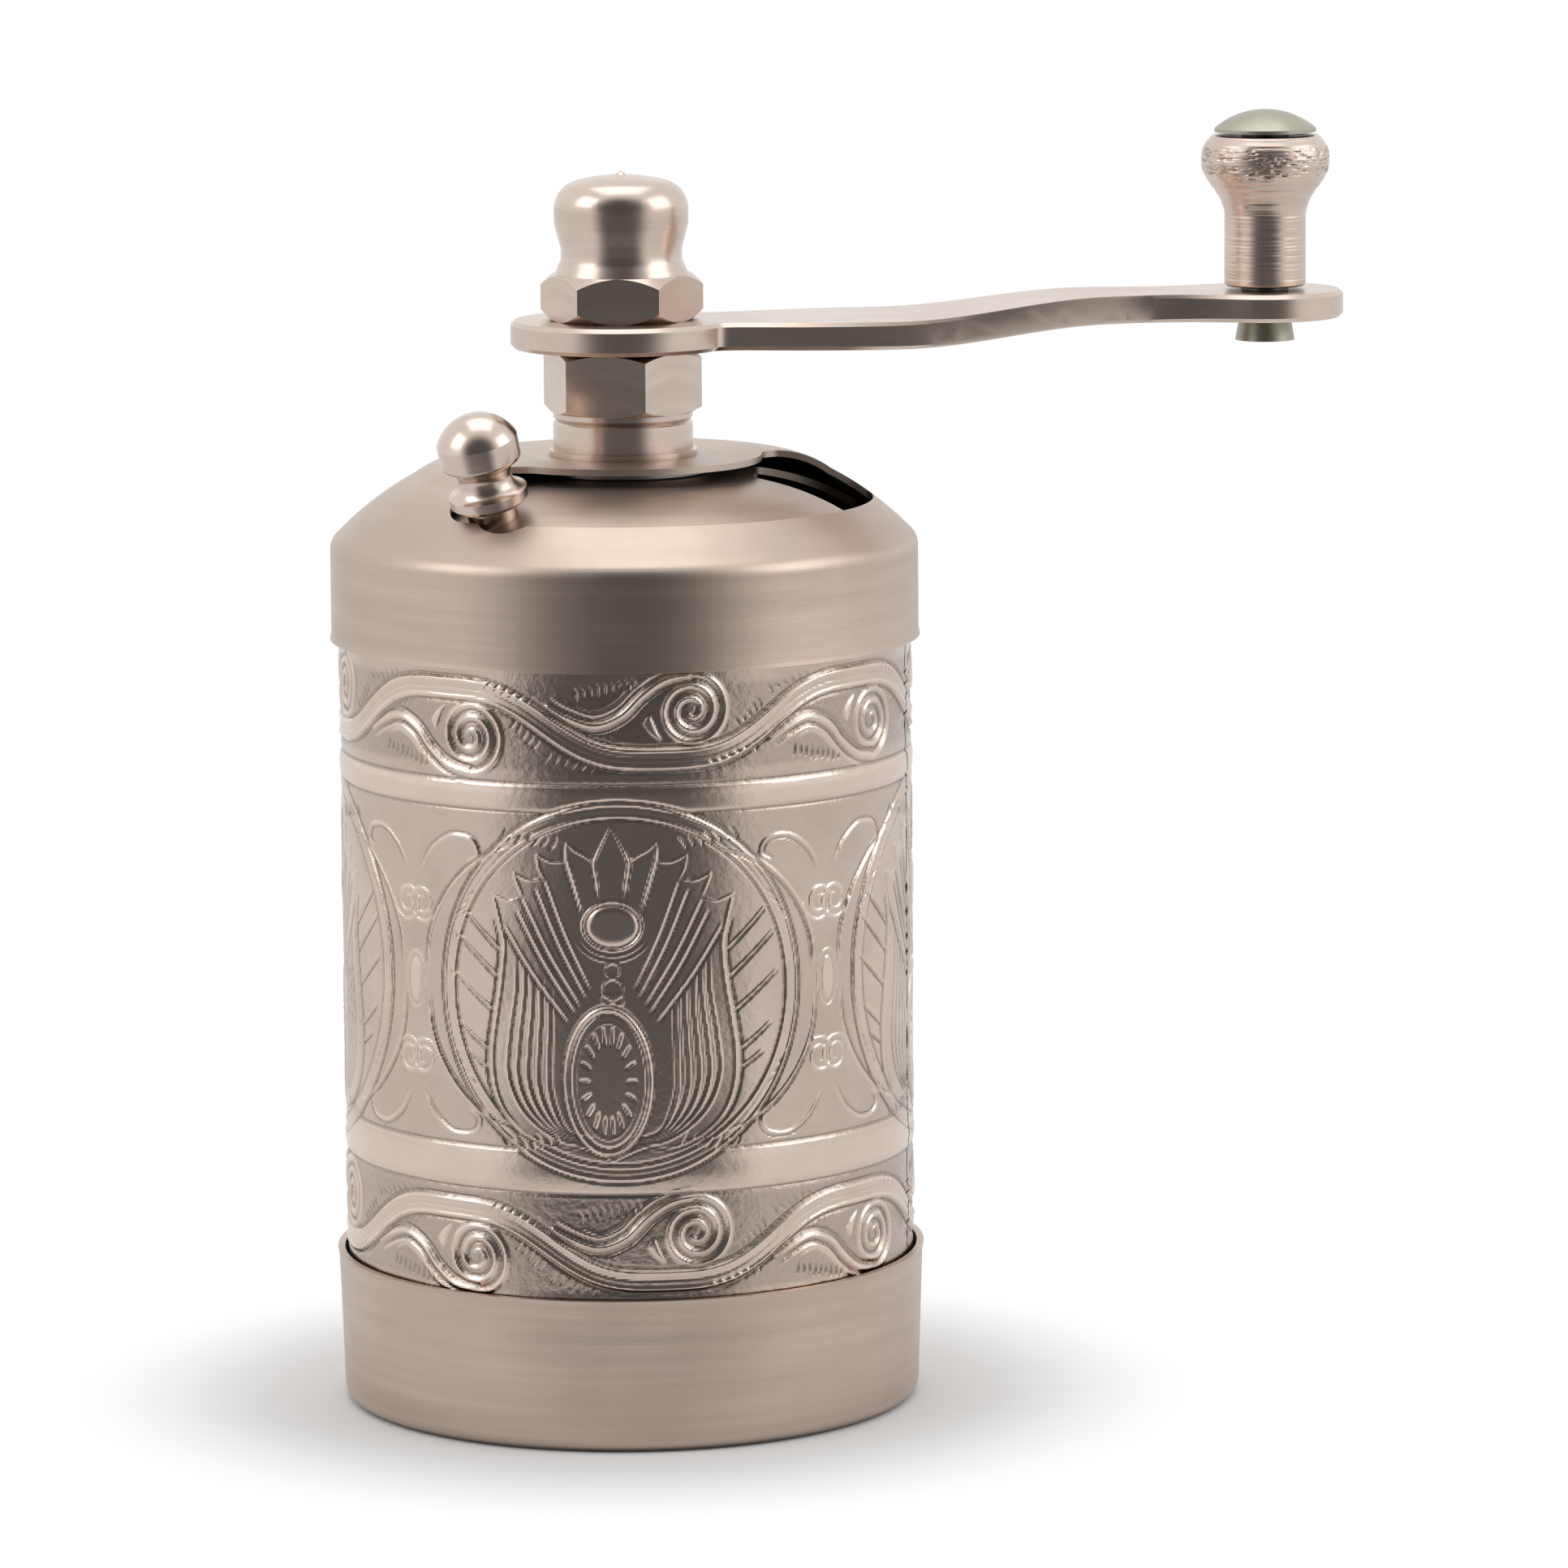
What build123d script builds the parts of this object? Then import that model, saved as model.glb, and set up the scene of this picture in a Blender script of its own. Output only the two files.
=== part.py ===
from build123d import *
from math import acos, asin, atan2, cos, degrees, pi, radians, sin, sqrt, tan
import os

# Cylinder hand mill: a crank on top turns a toothed cone inside a toothed ring, beans go in
# through a rotating shutter in the domed cap, and the grounds fall into a slip-on cup.
# Millimetres, +Z up. The origin is the centre of the flat base, on the mill's axis.
# An azimuth is measured from the front (-Y) towards the right (+X), in degrees.

# ---------------------------------------------------------------- clearances
seat_gap = 0.05          # radial, between pieces that are fixed together
run_gap = 0.05           # radial, of a shaft or hub that turns in its hole
move_gap = 0.3           # between faces that move past each other
shutter_gap = 0.15       # above and below the shutter's hub

# ---------------------------------------------------------------- body of the mill
barrel_radius = 24.0
barrel_wall = 0.7
barrel_bottom = 2.0
body_height = 52.9       # embossed sleeve that shows between the cup and the cap
sleeve_wall = 0.35
sleeve_lap = 2.7         # how far the sleeve hides inside the cup's rim
sleeve_seam = 0.3
seam_azimuth = 78.0
rib_height = 0.2
upper_rib = (41.1, 43.5)     # heights above the cup's rim, low edge and high edge
lower_rib = (8.9, 12.6)

cup_height = 13.1
cup_wall = 0.6
cup_floor = 0.7
cup_taper = 0.4          # the cup is this much smaller in radius at the base
cup_corner = 1.2
cup_slip = 0.2           # radial, between the cup's rim and the sleeve
lip_flare = 0.12
lip_height = 0.6

# ---------------------------------------------------------------- domed cap and its window
cap_wall = 0.55
cap_slip = 0.15          # radial, between the cap's skirt and the sleeve
skirt_height = 7.6
shoulder_step = 0.7      # the dome starts this far in from the skirt
shoulder_rise = 1.4
dome_rise = 6.45
dome_bulge = 0.3
dome_width = 11.4        # radial, from the dome's foot to its flat crown
crown_blend = 8.4
shoulder_round = (0.25, 0.55)    # middle of the rounded shoulder, shares of its step and rise
shoulder_lean = 46.2     # slope of the sheet where the dome starts, in degrees
barrel_under_cap = 7.2   # how far the barrel reaches up inside the cap

window_inset = 3.8       # radial, from the cap's skirt to the window's outer edge
window_width = 9.5
window_azimuths = (-47.0, 100.0)
window_end_round = 2.8   # corners beside the pull
mouth_corner = 1.8       # corners of the end where the beans go in
pocket_azimuth = -27.5   # notch in the outer edge that the pull's flange drops through
pocket_radius = 3.3
pocket_reach = 0.8       # how far the notch runs past the window's outer edge

# ---------------------------------------------------------------- shutter
shutter_thickness = 0.6
shutter_hub_drop = 1.5   # shutter's flat hub below the cap's crown
shutter_flat_inset = 1.3     # the flat hub ends this far inside the window
shutter_slopes = (4.0, 32.0)     # where the curved plate starts, and at its rim
shutter_overlap = 0.2    # past the window's outer edge
shutter_cut_azimuths = (70.0, 112.0)
shutter_cut_past = 0.4   # the cut reaches this far past the window's inner edge
shutter_cut_corner = 1.5
pull_azimuth = -34.8
pull_inset = 2.7         # radial, from the window's outer edge to the pull's middle
pull_lean = 18.0
pull_foot_radius = 2.1
pull_collar_radius = 3.3
pull_neck_radius = 2.25
pull_head_radius = 3.4
pull_height = 9.3
pull_sink = 0.3          # foot drawn this far into the plate and cut off at its surface
pull_rivet_radius = 1.2
pull_rivet_flare = 0.7
pull_rivet_tail = 0.9
pull_rivet_slip = 0.15   # shank below the plate, on the axis
pull_foot_height = 1.3
pull_collar_rim = 0.75   # upright edge of the collar
pull_collar_bevel = 0.35
pull_collar_height = 1.25
pull_neck_height = 2.35
pull_neck_low = 0.55     # narrowest point, as a share of the neck
pull_chin = 0.5          # rounding under the head
pull_crown_rise = 2.2

hub_shoulder_radius = 7.4
hub_spigot_radius = 6.5
hub_washer_radius = 9.0
hub_washer_thickness = 0.8

# ---------------------------------------------------------------- bearing bush
bush_thread_radius = 5.0
bush_neck_radius = 5.95
bush_neck_height = 3.2
bush_groove = 0.25
bush_groove_drop = 0.9   # groove's lower edge below the hexagon
bush_washer_radius = 6.3
bush_washer_thickness = 0.5
bush_hex = 12.0
bush_hex_height = 5.2
bush_hex_azimuth = 17.2
bush_tail = 0.65         # thread that shows below the lock nut
lock_nut_hex = 14.0
lock_nut_height = 3.0

# ---------------------------------------------------------------- shaft and crank
shaft_radius = 3.0
shaft_square = 4.8       # across flats, at the arm and at the cone
shaft_thread_radius = 2.4
shaft_tip_radius = 1.9
shaft_tip_lift = 1.0     # shaft's end above the cone's lower face
collar_radius = 5.5
collar_height = 4.0
collar_pin_radius = 0.75
collar_pin_short = 0.3   # pin's ends inside the collar's rim

crank_reach = 55.5
crank_azimuth = 97.0
arm_thickness = 2.35
arm_rise = 1.6
arm_bend_start = 22.5    # the S-bend's start, along the arm
arm_end_flat = 14.0      # from the S-bend's end to the knob's pin
arm_hub_radius = 9.5
arm_notch_angle = 40.0
arm_notch_fillet = 1.2
arm_neck_step = 1.6      # from the hub's rim out to the neck
arm_neck_width = 11.6
arm_belly_width = 14.6
arm_waist_width = 9.6
arm_end_radius = 6.7
arm_end_angle = 68.0     # how far round the end the side runs in, in degrees
arm_edge = 0.35

acorn_hex = 12.0
acorn_hex_bevel = 44.0
acorn_hex_height = 3.9
acorn_hex_azimuth = 28.0
acorn_foot_radius = 5.7  # heights below are above the arm
acorn_waist_radius = 5.15
acorn_waist_heights = (5.2, 6.1)
acorn_belly_height = 8.2
acorn_ball_radius = 5.72
acorn_shoulder_height = 9.4
acorn_shoulder_round = 2.5
acorn_crown_slope = 13.0     # where the rounded shoulder meets the flatter top
acorn_top_height = 12.3
acorn_point_radius = 0.5
acorn_height = 12.65
acorn_bore_depth = 8.0
acorn_bore_spare = 1.0   # bore left above the shaft's stub

grip_height = 12.9
grip_stem_radius = 3.5
grip_stem_height = 6.0
grip_foot_bevel = 0.2
grip_stem_bulge = (0.33, 0.52)   # out of the stem, and up as a share of the flare
grip_throat_radius = 4.75
grip_throat_drop = 4.13  # below the grip's top
grip_ball_radius = 5.5
grip_ball_drop = 1.94
grip_top_radius = 4.6
pin_radius = 2.0
pin_head_radius = 4.35
pin_head_height = 1.9
pin_head_rim = 0.3
pin_tail_length = 2.0
pin_tail_radius = 2.55
pin_tail_taper = 0.35

# ---------------------------------------------------------------- burrs
ring_base = 17.0         # height of the toothed ring's lower face
ring_height = 14.0
ring_bore_radius = 14.4
ring_lip = 2.85          # width of the toothed ring's upper rim
ring_fine_height = 5.0
ring_fine_teeth = 32
ring_fine_depth = 0.9
ring_coarse_teeth = 12
ring_coarse_depth = 1.5
groove_share = 0.86      # of a tooth's pitch
groove_overrun = 2.5     # cutter's size over the groove's own
burr_gap = 0.4           # between the teeth at the outlet
cone_height = 17.4
cone_lift = 0.6          # cone's lower face above the ring's lower face
cone_top_radius = 4.7
cone_band_height = 4.4
cone_band_taper = 0.8
cone_hollow = 0.36       # how far out the middle of the hollow flank lies, as a share
cone_fine_teeth = 28
cone_fine_depth = 0.9
cone_coarse_teeth = 7
cone_coarse_depth = 2.6
tooth_skew = 16.0        # turn of a fine groove over its length
coarse_skew = 38.0
cone_recess_radius = 6.5
cone_recess_depth = 3.8
cone_nut_hex = 7.0
cone_nut_height = 2.5
bead_depth = 0.7         # rolled stop in the barrel, above the toothed ring
bead_height = 1.6

# ---------------------------------------------------------------- lower bridge and grind adjuster
bridge_thickness = 3.0
bridge_slip = 0.7        # radial, between the bridge and the barrel
bridge_ring_width = 5.0
bridge_boss_radius = 5.2
bridge_boss_drop = 0.5
bridge_arm_width = 6.0
bridge_arms = 3
bridge_arm_azimuth = 60.0
screw_radius = 1.25
screw_head_radius = 2.4
screw_head_height = 1.4
screw_length = 8.0
screw_hole_spare = 1.0
screw_slot_width = 0.6
screw_slot_depth = 0.6
adjuster_radius = 2.5
adjuster_wheel_radius = 7.0
adjuster_wheel_height = 2.6
adjuster_wheel_base = 6.5
adjuster_scallops = 12
adjuster_scallop_radius = 1.3
adjuster_scallop_set = 0.6   # centre outside the wheel's rim
adjuster_nut_hex = 9.0
adjuster_nut_height = 2.4
thrust_gap = 0.2

# ---------------------------------------------------------------- places worked out from the sizes
sleeve_inner = barrel_radius + seat_gap
sleeve_radius = sleeve_inner + sleeve_wall
cap_inner = sleeve_radius + cap_slip
cap_radius = cap_inner + cap_wall
cup_rim_radius = sleeve_radius + cup_slip + cup_wall
cap_bottom = cup_height + body_height
skirt_top = cap_bottom + skirt_height
shoulder_z = skirt_top + shoulder_rise
dome_radius = cap_radius - shoulder_step
cap_top = shoulder_z + dome_rise
cap_under = cap_top - cap_wall
crown_radius = dome_radius - dome_width
window_outer = cap_radius - window_inset
window_inner = window_outer - window_width
pocket_centre = window_outer + pocket_reach - pocket_radius
pull_radius = window_outer - pull_inset
shutter_rim_radius = window_outer + shutter_overlap
shutter_flat_radius = window_inner - shutter_flat_inset
shutter_cut_inner = window_inner - shutter_cut_past
hub_top_z = cap_top - shutter_hub_drop
spigot_bottom = hub_top_z - shutter_thickness - shutter_gap
hub_washer_bottom = spigot_bottom - hub_washer_thickness
lock_nut_bottom = hub_washer_bottom - lock_nut_height
bush_bottom = lock_nut_bottom - bush_tail
neck_bottom = cap_top + bush_washer_thickness
hex_bottom = neck_bottom + bush_neck_height
bush_top = hex_bottom + bush_hex_height
arm_bottom = bush_top + move_gap
arm_top = arm_bottom + arm_thickness
knob_seat = arm_top + arm_rise
grip_bottom = knob_seat + move_gap
grip_top = grip_bottom + grip_height
collar_top = bush_bottom - move_gap
arm_bend_end = crank_reach - arm_end_flat
barrel_bore = barrel_radius - barrel_wall
barrel_top = cap_bottom + barrel_under_cap
ring_top = ring_base + ring_height
ring_radius = barrel_bore - seat_gap
ring_mouth_radius = ring_radius - ring_lip
bridge_bottom = ring_base - bridge_thickness
bridge_ring_radius = barrel_bore - bridge_slip
cone_base = ring_base + cone_lift
cone_top = cone_base + cone_height
cone_radius = ring_bore_radius - burr_gap
shaft_bottom = cone_base + shaft_tip_lift


def shoulder_point(inset=0):
    """Start of the dome's flank, moved in square to the sheet by the inset."""
    lean = radians(shoulder_lean)
    return Vector(dome_radius - inset * cos(lean), shoulder_z - inset * sin(lean))


def dome_tangent(inset=0):
    """Point where the dome's flank meets the arc that rounds it into the flat crown."""
    centre_z = cap_top - crown_blend
    blend = crown_blend - inset
    rise = shoulder_point(inset) - Vector(crown_radius, centre_z)
    turn = atan2(rise.Y, rise.X) + acos(blend / rise.length)
    return Vector(crown_radius + blend * cos(turn), centre_z + blend * sin(turn))


# ---------------------------------------------------------------- helpers
def polar(radius, azimuth, height=0):
    """Point at an azimuth measured from the front towards the right."""
    return (radius * sin(radians(azimuth)), -radius * cos(radians(azimuth)), height)


def spin(*edges):
    """Solid of revolution about Z of a closed outline drawn as (radius, height)."""
    return revolve(Plane.XZ * make_face(edges), Axis.Z)


def dome(radius, low, high):
    """Arc of a circle centred on the axis, from a rim up to the top."""
    rise = high - low
    ball = (radius ** 2 + rise ** 2) / (2 * rise)
    half = asin(min(radius / ball, 1)) / 2
    middle = (ball * sin(half), high - ball + ball * cos(half))
    return ThreePointArc((radius, low), middle, (0, high))


def disc(outer, inner, bottom, top):
    """Washer or tube between two radii and two heights."""
    ring = Circle(outer) - Circle(inner) if inner else Circle(outer)
    return Pos(0, 0, bottom) * extrude(ring, top - bottom)


def sector(inner, outer, first, last):
    """Flat piece of a ring between two azimuths."""
    start = first - 90
    sweep = last - first
    corners = [polar(inner, first), polar(outer, first), polar(outer, last), polar(inner, last)]
    out_arc = CenterArc((0, 0), outer, start, sweep)
    in_arc = CenterArc((0, 0), inner, start, sweep)
    return make_face([Line(corners[0], corners[1]), out_arc, Line(corners[2], corners[3]), in_arc])


def hex_prism(across, bottom, top, azimuth=0, bevel=30):
    """Hexagon bar with its corners turned off at an angle, one corner at the azimuth."""
    corner = across / sqrt(3)
    flat = across / 2
    rise = (corner - flat) * tan(radians(bevel))
    bar = extrude(RegularPolygon(corner, 6), top - bottom)
    bar = Pos(0, 0, bottom) * Rot(0, 0, azimuth - 90) * bar
    return bar & spin(Polyline(
        (0, bottom), (flat, bottom), (corner, bottom + rise), (corner, top - rise), (flat, top),
        (0, top), close=True))


def squared(radius, across, bottom, top):
    """Round bar with four flats."""
    bar = Circle(radius) & Rectangle(across, across)
    return Pos(0, 0, bottom) * extrude(bar, top - bottom)


# ---------------------------------------------------------------- cup, barrel and sleeve
def grounds_cup():
    """Slip-on cup: flat floor, small bottom corner, tapered wall and a flared lip."""
    base_r = cup_rim_radius - cup_taper
    lip_z = cup_height - lip_height
    outside = Polyline((0, 0), (base_r, 0), (cup_rim_radius, lip_z),
                       (cup_rim_radius + lip_flare, cup_height))
    inside = Polyline((cup_rim_radius + lip_flare, cup_height),
                      (cup_rim_radius - cup_wall + lip_flare, cup_height),
                      (cup_rim_radius - cup_wall, lip_z), (base_r - cup_wall, cup_floor),
                      (0, cup_floor), (0, 0))
    solid = spin(outside, inside)
    rings = solid.edges().filter_by(GeomType.CIRCLE)
    low = rings.filter_by(lambda e: e.radius > barrel_radius and e.center().Z < 0.01)
    return fillet(low, cup_corner)


def barrel():
    """Thin tube with a rolled bead that the toothed ring seats against."""
    bore = barrel_bore
    bead_mid = ring_top + bead_height / 2
    bead_end = ring_top + bead_height
    return spin(Polyline(
        (bore, barrel_bottom), (barrel_radius, barrel_bottom), (barrel_radius, ring_top),
        (barrel_radius - bead_depth, bead_mid), (barrel_radius, bead_end),
        (barrel_radius, barrel_top), (bore, barrel_top), (bore, bead_end),
        (bore - bead_depth, bead_mid), (bore, ring_top), close=True))


def rib_arc(rib):
    """Half-round rib that stands out of the sleeve."""
    low = cup_height + rib[0]
    high = cup_height + rib[1]
    crest = (sleeve_radius + rib_height, (low + high) / 2)
    return ThreePointArc((sleeve_radius, low), crest, (sleeve_radius, high))


def embossed_sleeve():
    """Sheet rolled round the barrel, with two plain ribs and a butt seam down one side."""
    bottom = cup_height - sleeve_lap
    top = barrel_top - sleeve_wall
    low_rib = rib_arc(lower_rib)
    high_rib = rib_arc(upper_rib)
    outline = [
        Line((sleeve_inner, bottom), (sleeve_radius, bottom)),
        Line((sleeve_radius, bottom), low_rib @ 0),
        low_rib,
        Line(low_rib @ 1, high_rib @ 0),
        high_rib,
        Line(high_rib @ 1, (sleeve_radius, top)),
        Line((sleeve_radius, top), (sleeve_inner, top)),
        Line((sleeve_inner, top), (sleeve_inner, bottom)),
    ]
    middle = (bottom + top) / 2
    slit = Pos(sleeve_radius, 0, middle) * Box(4, sleeve_seam, top - bottom + 2)
    return spin(*outline) - Rot(0, 0, seam_azimuth - 90) * slit


# ---------------------------------------------------------------- cap
def cap_section(inset):
    """Half-section of the cap's outer form, or of its hollow when inset by the wall."""
    skirt = cap_radius - inset
    blend = dome_tangent(inset)
    shoulder = shoulder_point(inset)
    flank = blend - shoulder
    bulge = Vector(flank.Y, -flank.X).normalized() * dome_bulge
    centre = Vector(crown_radius, cap_top - crown_blend)
    rest = (blend - centre).normalized() + Vector(0, 1)
    on_crown = centre + rest.normalized() * (crown_blend - inset)
    round_mid = (skirt - shoulder_step * shoulder_round[0], skirt_top + shoulder_rise * shoulder_round[1])
    crown = (crown_radius, cap_top - inset)
    return [
        Polyline(crown, (0, cap_top - inset), (0, cap_bottom), (skirt + lip_flare, cap_bottom),
                 (skirt, cap_bottom + lip_height), (skirt, skirt_top)),
        ThreePointArc((skirt, skirt_top), round_mid, shoulder),
        ThreePointArc(shoulder, shoulder + flank * 0.5 + bulge, blend),
        ThreePointArc(blend, on_crown, crown),
    ]


def fill_window():
    """Wide curved window, with a notch in its outer edge beside the pull."""
    first, last = window_azimuths
    opening = sector(window_inner, window_outer, first, last)

    def corners_at(azimuth):
        spots = [Vector(*polar(radius, azimuth)) for radius in (window_inner, window_outer)]
        return opening.vertices().filter_by(lambda v: any((Vector(v) - p).length < 0.01 for p in spots))

    opening = fillet(corners_at(first), window_end_round)
    opening = fillet(corners_at(last), mouth_corner)
    return opening + Pos(*polar(pocket_centre, pocket_azimuth)) * Circle(pocket_radius)


def top_cap():
    """Spun cap of even wall with the window cut straight down through its dome."""
    cap = spin(*cap_section(0)) - spin(*cap_section(cap_wall))
    cap -= disc(bush_thread_radius + seat_gap, 0, cap_under - 1, cap_top + 1)
    return cap - Pos(0, 0, shoulder_z) * extrude(fill_window(), dome_rise + cap_wall)


# ---------------------------------------------------------------- shutter and its hub
def plate_ball():
    """Radius of the arc that the shutter curves down on."""
    start, end = shutter_slopes
    return (shutter_rim_radius - shutter_flat_radius) / (sin(radians(end)) - sin(radians(start)))


def plate_point(slope, depth=0):
    """Point of the shutter's section where its face slopes by an angle, at a depth below it."""
    lean = radians(slope)
    start = radians(shutter_slopes[0])
    radius = shutter_flat_radius + plate_ball() * (sin(lean) - sin(start))
    height = hub_top_z + plate_ball() * (cos(lean) - cos(start))
    return (radius - depth * sin(lean), height - depth * cos(lean))


def shutter_blank():
    """Dished plate that turns on the hub: a flat middle curving down to the rim."""
    start, end = shutter_slopes
    top = [plate_point(slope) for slope in (start, (start + end) / 2, end)]
    low = [plate_point(slope, shutter_thickness) for slope in (start, (start + end) / 2, end)]
    hole = hub_spigot_radius + run_gap
    return spin(
        Line((hole, hub_top_z), top[0]), ThreePointArc(*top), Line(top[2], low[2]),
        ThreePointArc(*low),
        Polyline(low[0], (hole, hub_top_z - shutter_thickness), (hole, hub_top_z)))


def shutter_plate():
    """The plate with its fill sector cut away and a hole for the pull's rivet."""
    cut = sector(shutter_cut_inner, shutter_rim_radius + 2, *shutter_cut_azimuths)
    corners = cut.vertices().filter_by(lambda v: Vector(v.X, v.Y).length < shutter_cut_inner + 0.01)
    cut = fillet(corners, shutter_cut_corner)
    plate = shutter_blank() - Pos(0, 0, cap_bottom) * extrude(cut, cap_top - cap_bottom)
    return plate - pull_place() * Cylinder(pull_rivet_radius + seat_gap, pull_height)


def pull_place():
    """Foot of the pull on the shutter's upper face, with its axis leaning outwards."""
    reach = (pull_radius - shutter_flat_radius) / plate_ball()
    slope = degrees(asin(sin(radians(shutter_slopes[0])) + reach))
    radius, height = plate_point(slope)
    return Rot(0, 0, pull_azimuth - 90) * Pos(radius, 0, height) * Rot(0, pull_lean, 0)


def shutter_pull():
    """Turned pull: foot, flat collar, hollow neck and domed head, riveted through the shutter."""
    tail = -shutter_thickness - pull_rivet_tail
    rivet_head = pull_rivet_radius + pull_rivet_flare
    shank_end = -shutter_thickness - pull_rivet_slip
    collar_rim = pull_foot_height + pull_collar_bevel
    rim_top = collar_rim + pull_collar_rim
    neck_foot = pull_foot_height + pull_collar_height
    head_base = neck_foot + pull_neck_height
    chin = pull_head_radius - pull_chin
    cheek = head_base + pull_chin
    crown = pull_height - pull_crown_rise
    neck = (pull_neck_radius, neck_foot + pull_neck_low * pull_neck_height)
    round_mid = (chin + pull_chin * sin(radians(45)), cheek - pull_chin * cos(radians(45)))
    outline = [
        Polyline((0, tail), (rivet_head, tail), (rivet_head, shank_end),
                 (pull_rivet_radius, shank_end), (pull_rivet_radius, -pull_sink),
                 (pull_foot_radius, -pull_sink), (pull_foot_radius, pull_foot_height),
                 (pull_collar_radius - pull_collar_bevel, pull_foot_height),
                 (pull_collar_radius, collar_rim), (pull_collar_radius, rim_top)),
        ThreePointArc((pull_collar_radius, rim_top), neck, (chin, head_base)),
        ThreePointArc((chin, head_base), round_mid, (pull_head_radius, cheek)),
        Line((pull_head_radius, cheek), (pull_head_radius, crown)),
        dome(pull_head_radius, crown, pull_height),
        Line((0, pull_height), (0, tail)),
    ]
    return pull_place() * spin(*outline) - shutter_plate()


def shutter_hub():
    """Shouldered spacer under the cap: the shutter turns on its spigot."""
    bore = bush_thread_radius + seat_gap
    shoulder_bottom = hub_top_z + shutter_gap
    shoulder = disc(hub_shoulder_radius, bore, shoulder_bottom, cap_under)
    return shoulder + disc(hub_spigot_radius, bore, spigot_bottom, shoulder_bottom)


def shutter_washer():
    """Washer that keeps the shutter up on the spigot."""
    return disc(hub_washer_radius, bush_thread_radius + seat_gap, hub_washer_bottom, spigot_bottom)


# ---------------------------------------------------------------- bearing bush
def bearing_bush():
    """Hexagon-headed bush through the cap: the shaft's upper bearing."""
    groove = hex_bottom - bush_groove_drop
    neck = spin(Polyline(
        (0, neck_bottom), (bush_neck_radius, neck_bottom), (bush_neck_radius, groove),
        (bush_neck_radius - bush_groove, groove + bush_groove),
        (bush_neck_radius, groove + 2 * bush_groove), (bush_neck_radius, hex_bottom),
        (0, hex_bottom), close=True))
    thread = disc(bush_thread_radius, 0, bush_bottom, neck_bottom)
    head = hex_prism(bush_hex, hex_bottom, bush_top, bush_hex_azimuth)
    return thread + neck + head - disc(shaft_radius + run_gap, 0, bush_bottom - 1, bush_top + 1)


def bush_washer():
    """Thin washer between the bush and the cap."""
    return disc(bush_washer_radius, bush_thread_radius + seat_gap, cap_top, neck_bottom)


def bush_lock_nut():
    """Nut that draws the bush, cap, hub and washer together."""
    nut = hex_prism(lock_nut_hex, lock_nut_bottom, hub_washer_bottom)
    return nut - disc(bush_thread_radius + seat_gap, 0, lock_nut_bottom - 1, hub_washer_bottom + 1)


# ---------------------------------------------------------------- shaft and what it carries
def shaft():
    """Round spindle with flats for the arm and the cone, and a threaded stub at each end."""
    stub_top = arm_top + acorn_bore_depth - acorn_bore_spare
    nut_seat = cone_base + cone_recess_depth
    body = disc(shaft_radius, 0, cone_top, arm_bottom)
    body += crank_turn() * squared(shaft_radius, shaft_square, arm_bottom, arm_top)
    body += disc(shaft_thread_radius, 0, arm_top, stub_top)
    body += squared(shaft_radius, shaft_square, nut_seat, cone_top)
    body += disc(shaft_tip_radius, 0, shaft_bottom, nut_seat)
    pin_z = collar_top - collar_height / 2
    hole = Pos(0, 0, pin_z) * Rot(90, 0, 0) * Cylinder(collar_pin_radius + seat_gap, 4 * shaft_radius)
    return body - hole


def stop_collar():
    """Collar under the bush that keeps the shaft from lifting out."""
    bottom = collar_top - collar_height
    collar = disc(collar_radius, shaft_radius + seat_gap, bottom, collar_top)
    hole = Pos(0, 0, bottom + collar_height / 2) * Rot(90, 0, 0)
    return collar - hole * Cylinder(collar_pin_radius + seat_gap, 3 * collar_radius)


def collar_pin():
    """Cross pin through the collar and the shaft."""
    place = Pos(0, 0, collar_top - collar_height / 2) * Rot(90, 0, 0)
    return place * Cylinder(collar_pin_radius, 2 * (collar_radius - collar_pin_short))


def arm_plan():
    """Outline of the arm seen from above: round hub, notch, belly, waist and round end."""
    turn = radians(arm_notch_angle)
    land = radians(arm_end_angle)
    notch = (arm_hub_radius * cos(turn), arm_hub_radius * sin(turn))
    neck = (arm_hub_radius + arm_neck_step, arm_neck_width / 2)
    belly = (arm_bend_start, arm_belly_width / 2)
    waist = (arm_bend_end, arm_waist_width / 2)
    tip = (crank_reach - arm_end_radius * cos(land), arm_end_radius * sin(land))
    side = [
        CenterArc((0, 0), arm_hub_radius, 180, arm_notch_angle - 180),
        Spline(notch, neck, belly, waist, tip, tangents=[(0.3, -1), (1, 0.45)]),
        CenterArc((crank_reach, 0), arm_end_radius, 180 - arm_end_angle, arm_end_angle - 180),
    ]
    half = make_face(side + [Line((-arm_hub_radius, 0), (crank_reach + arm_end_radius, 0))])
    plan = half + mirror(half, about=Plane.XZ)
    notches = plan.vertices().filter_by(lambda v: v.X < arm_hub_radius)
    return fillet(notches, arm_notch_fillet)


def arm_side():
    """The arm seen from the side: flat at the hub, an S-bend, flat under the knob."""
    near = -arm_hub_radius - 1
    far = crank_reach + arm_end_radius + 1
    end_bottom = arm_bottom + arm_rise
    low = [
        Line((near, arm_bottom), (arm_bend_start, arm_bottom)),
        Spline((arm_bend_start, arm_bottom), (arm_bend_end, end_bottom), tangents=[(1, 0), (1, 0)]),
        Line((arm_bend_end, end_bottom), (far, end_bottom)),
    ]
    high = [Pos(0, arm_thickness) * edge for edge in low]
    ends = [
        Line((near, arm_bottom), (near, arm_top)),
        Line((far, end_bottom), (far, end_bottom + arm_thickness)),
    ]
    return make_face(low + high + ends)


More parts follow.
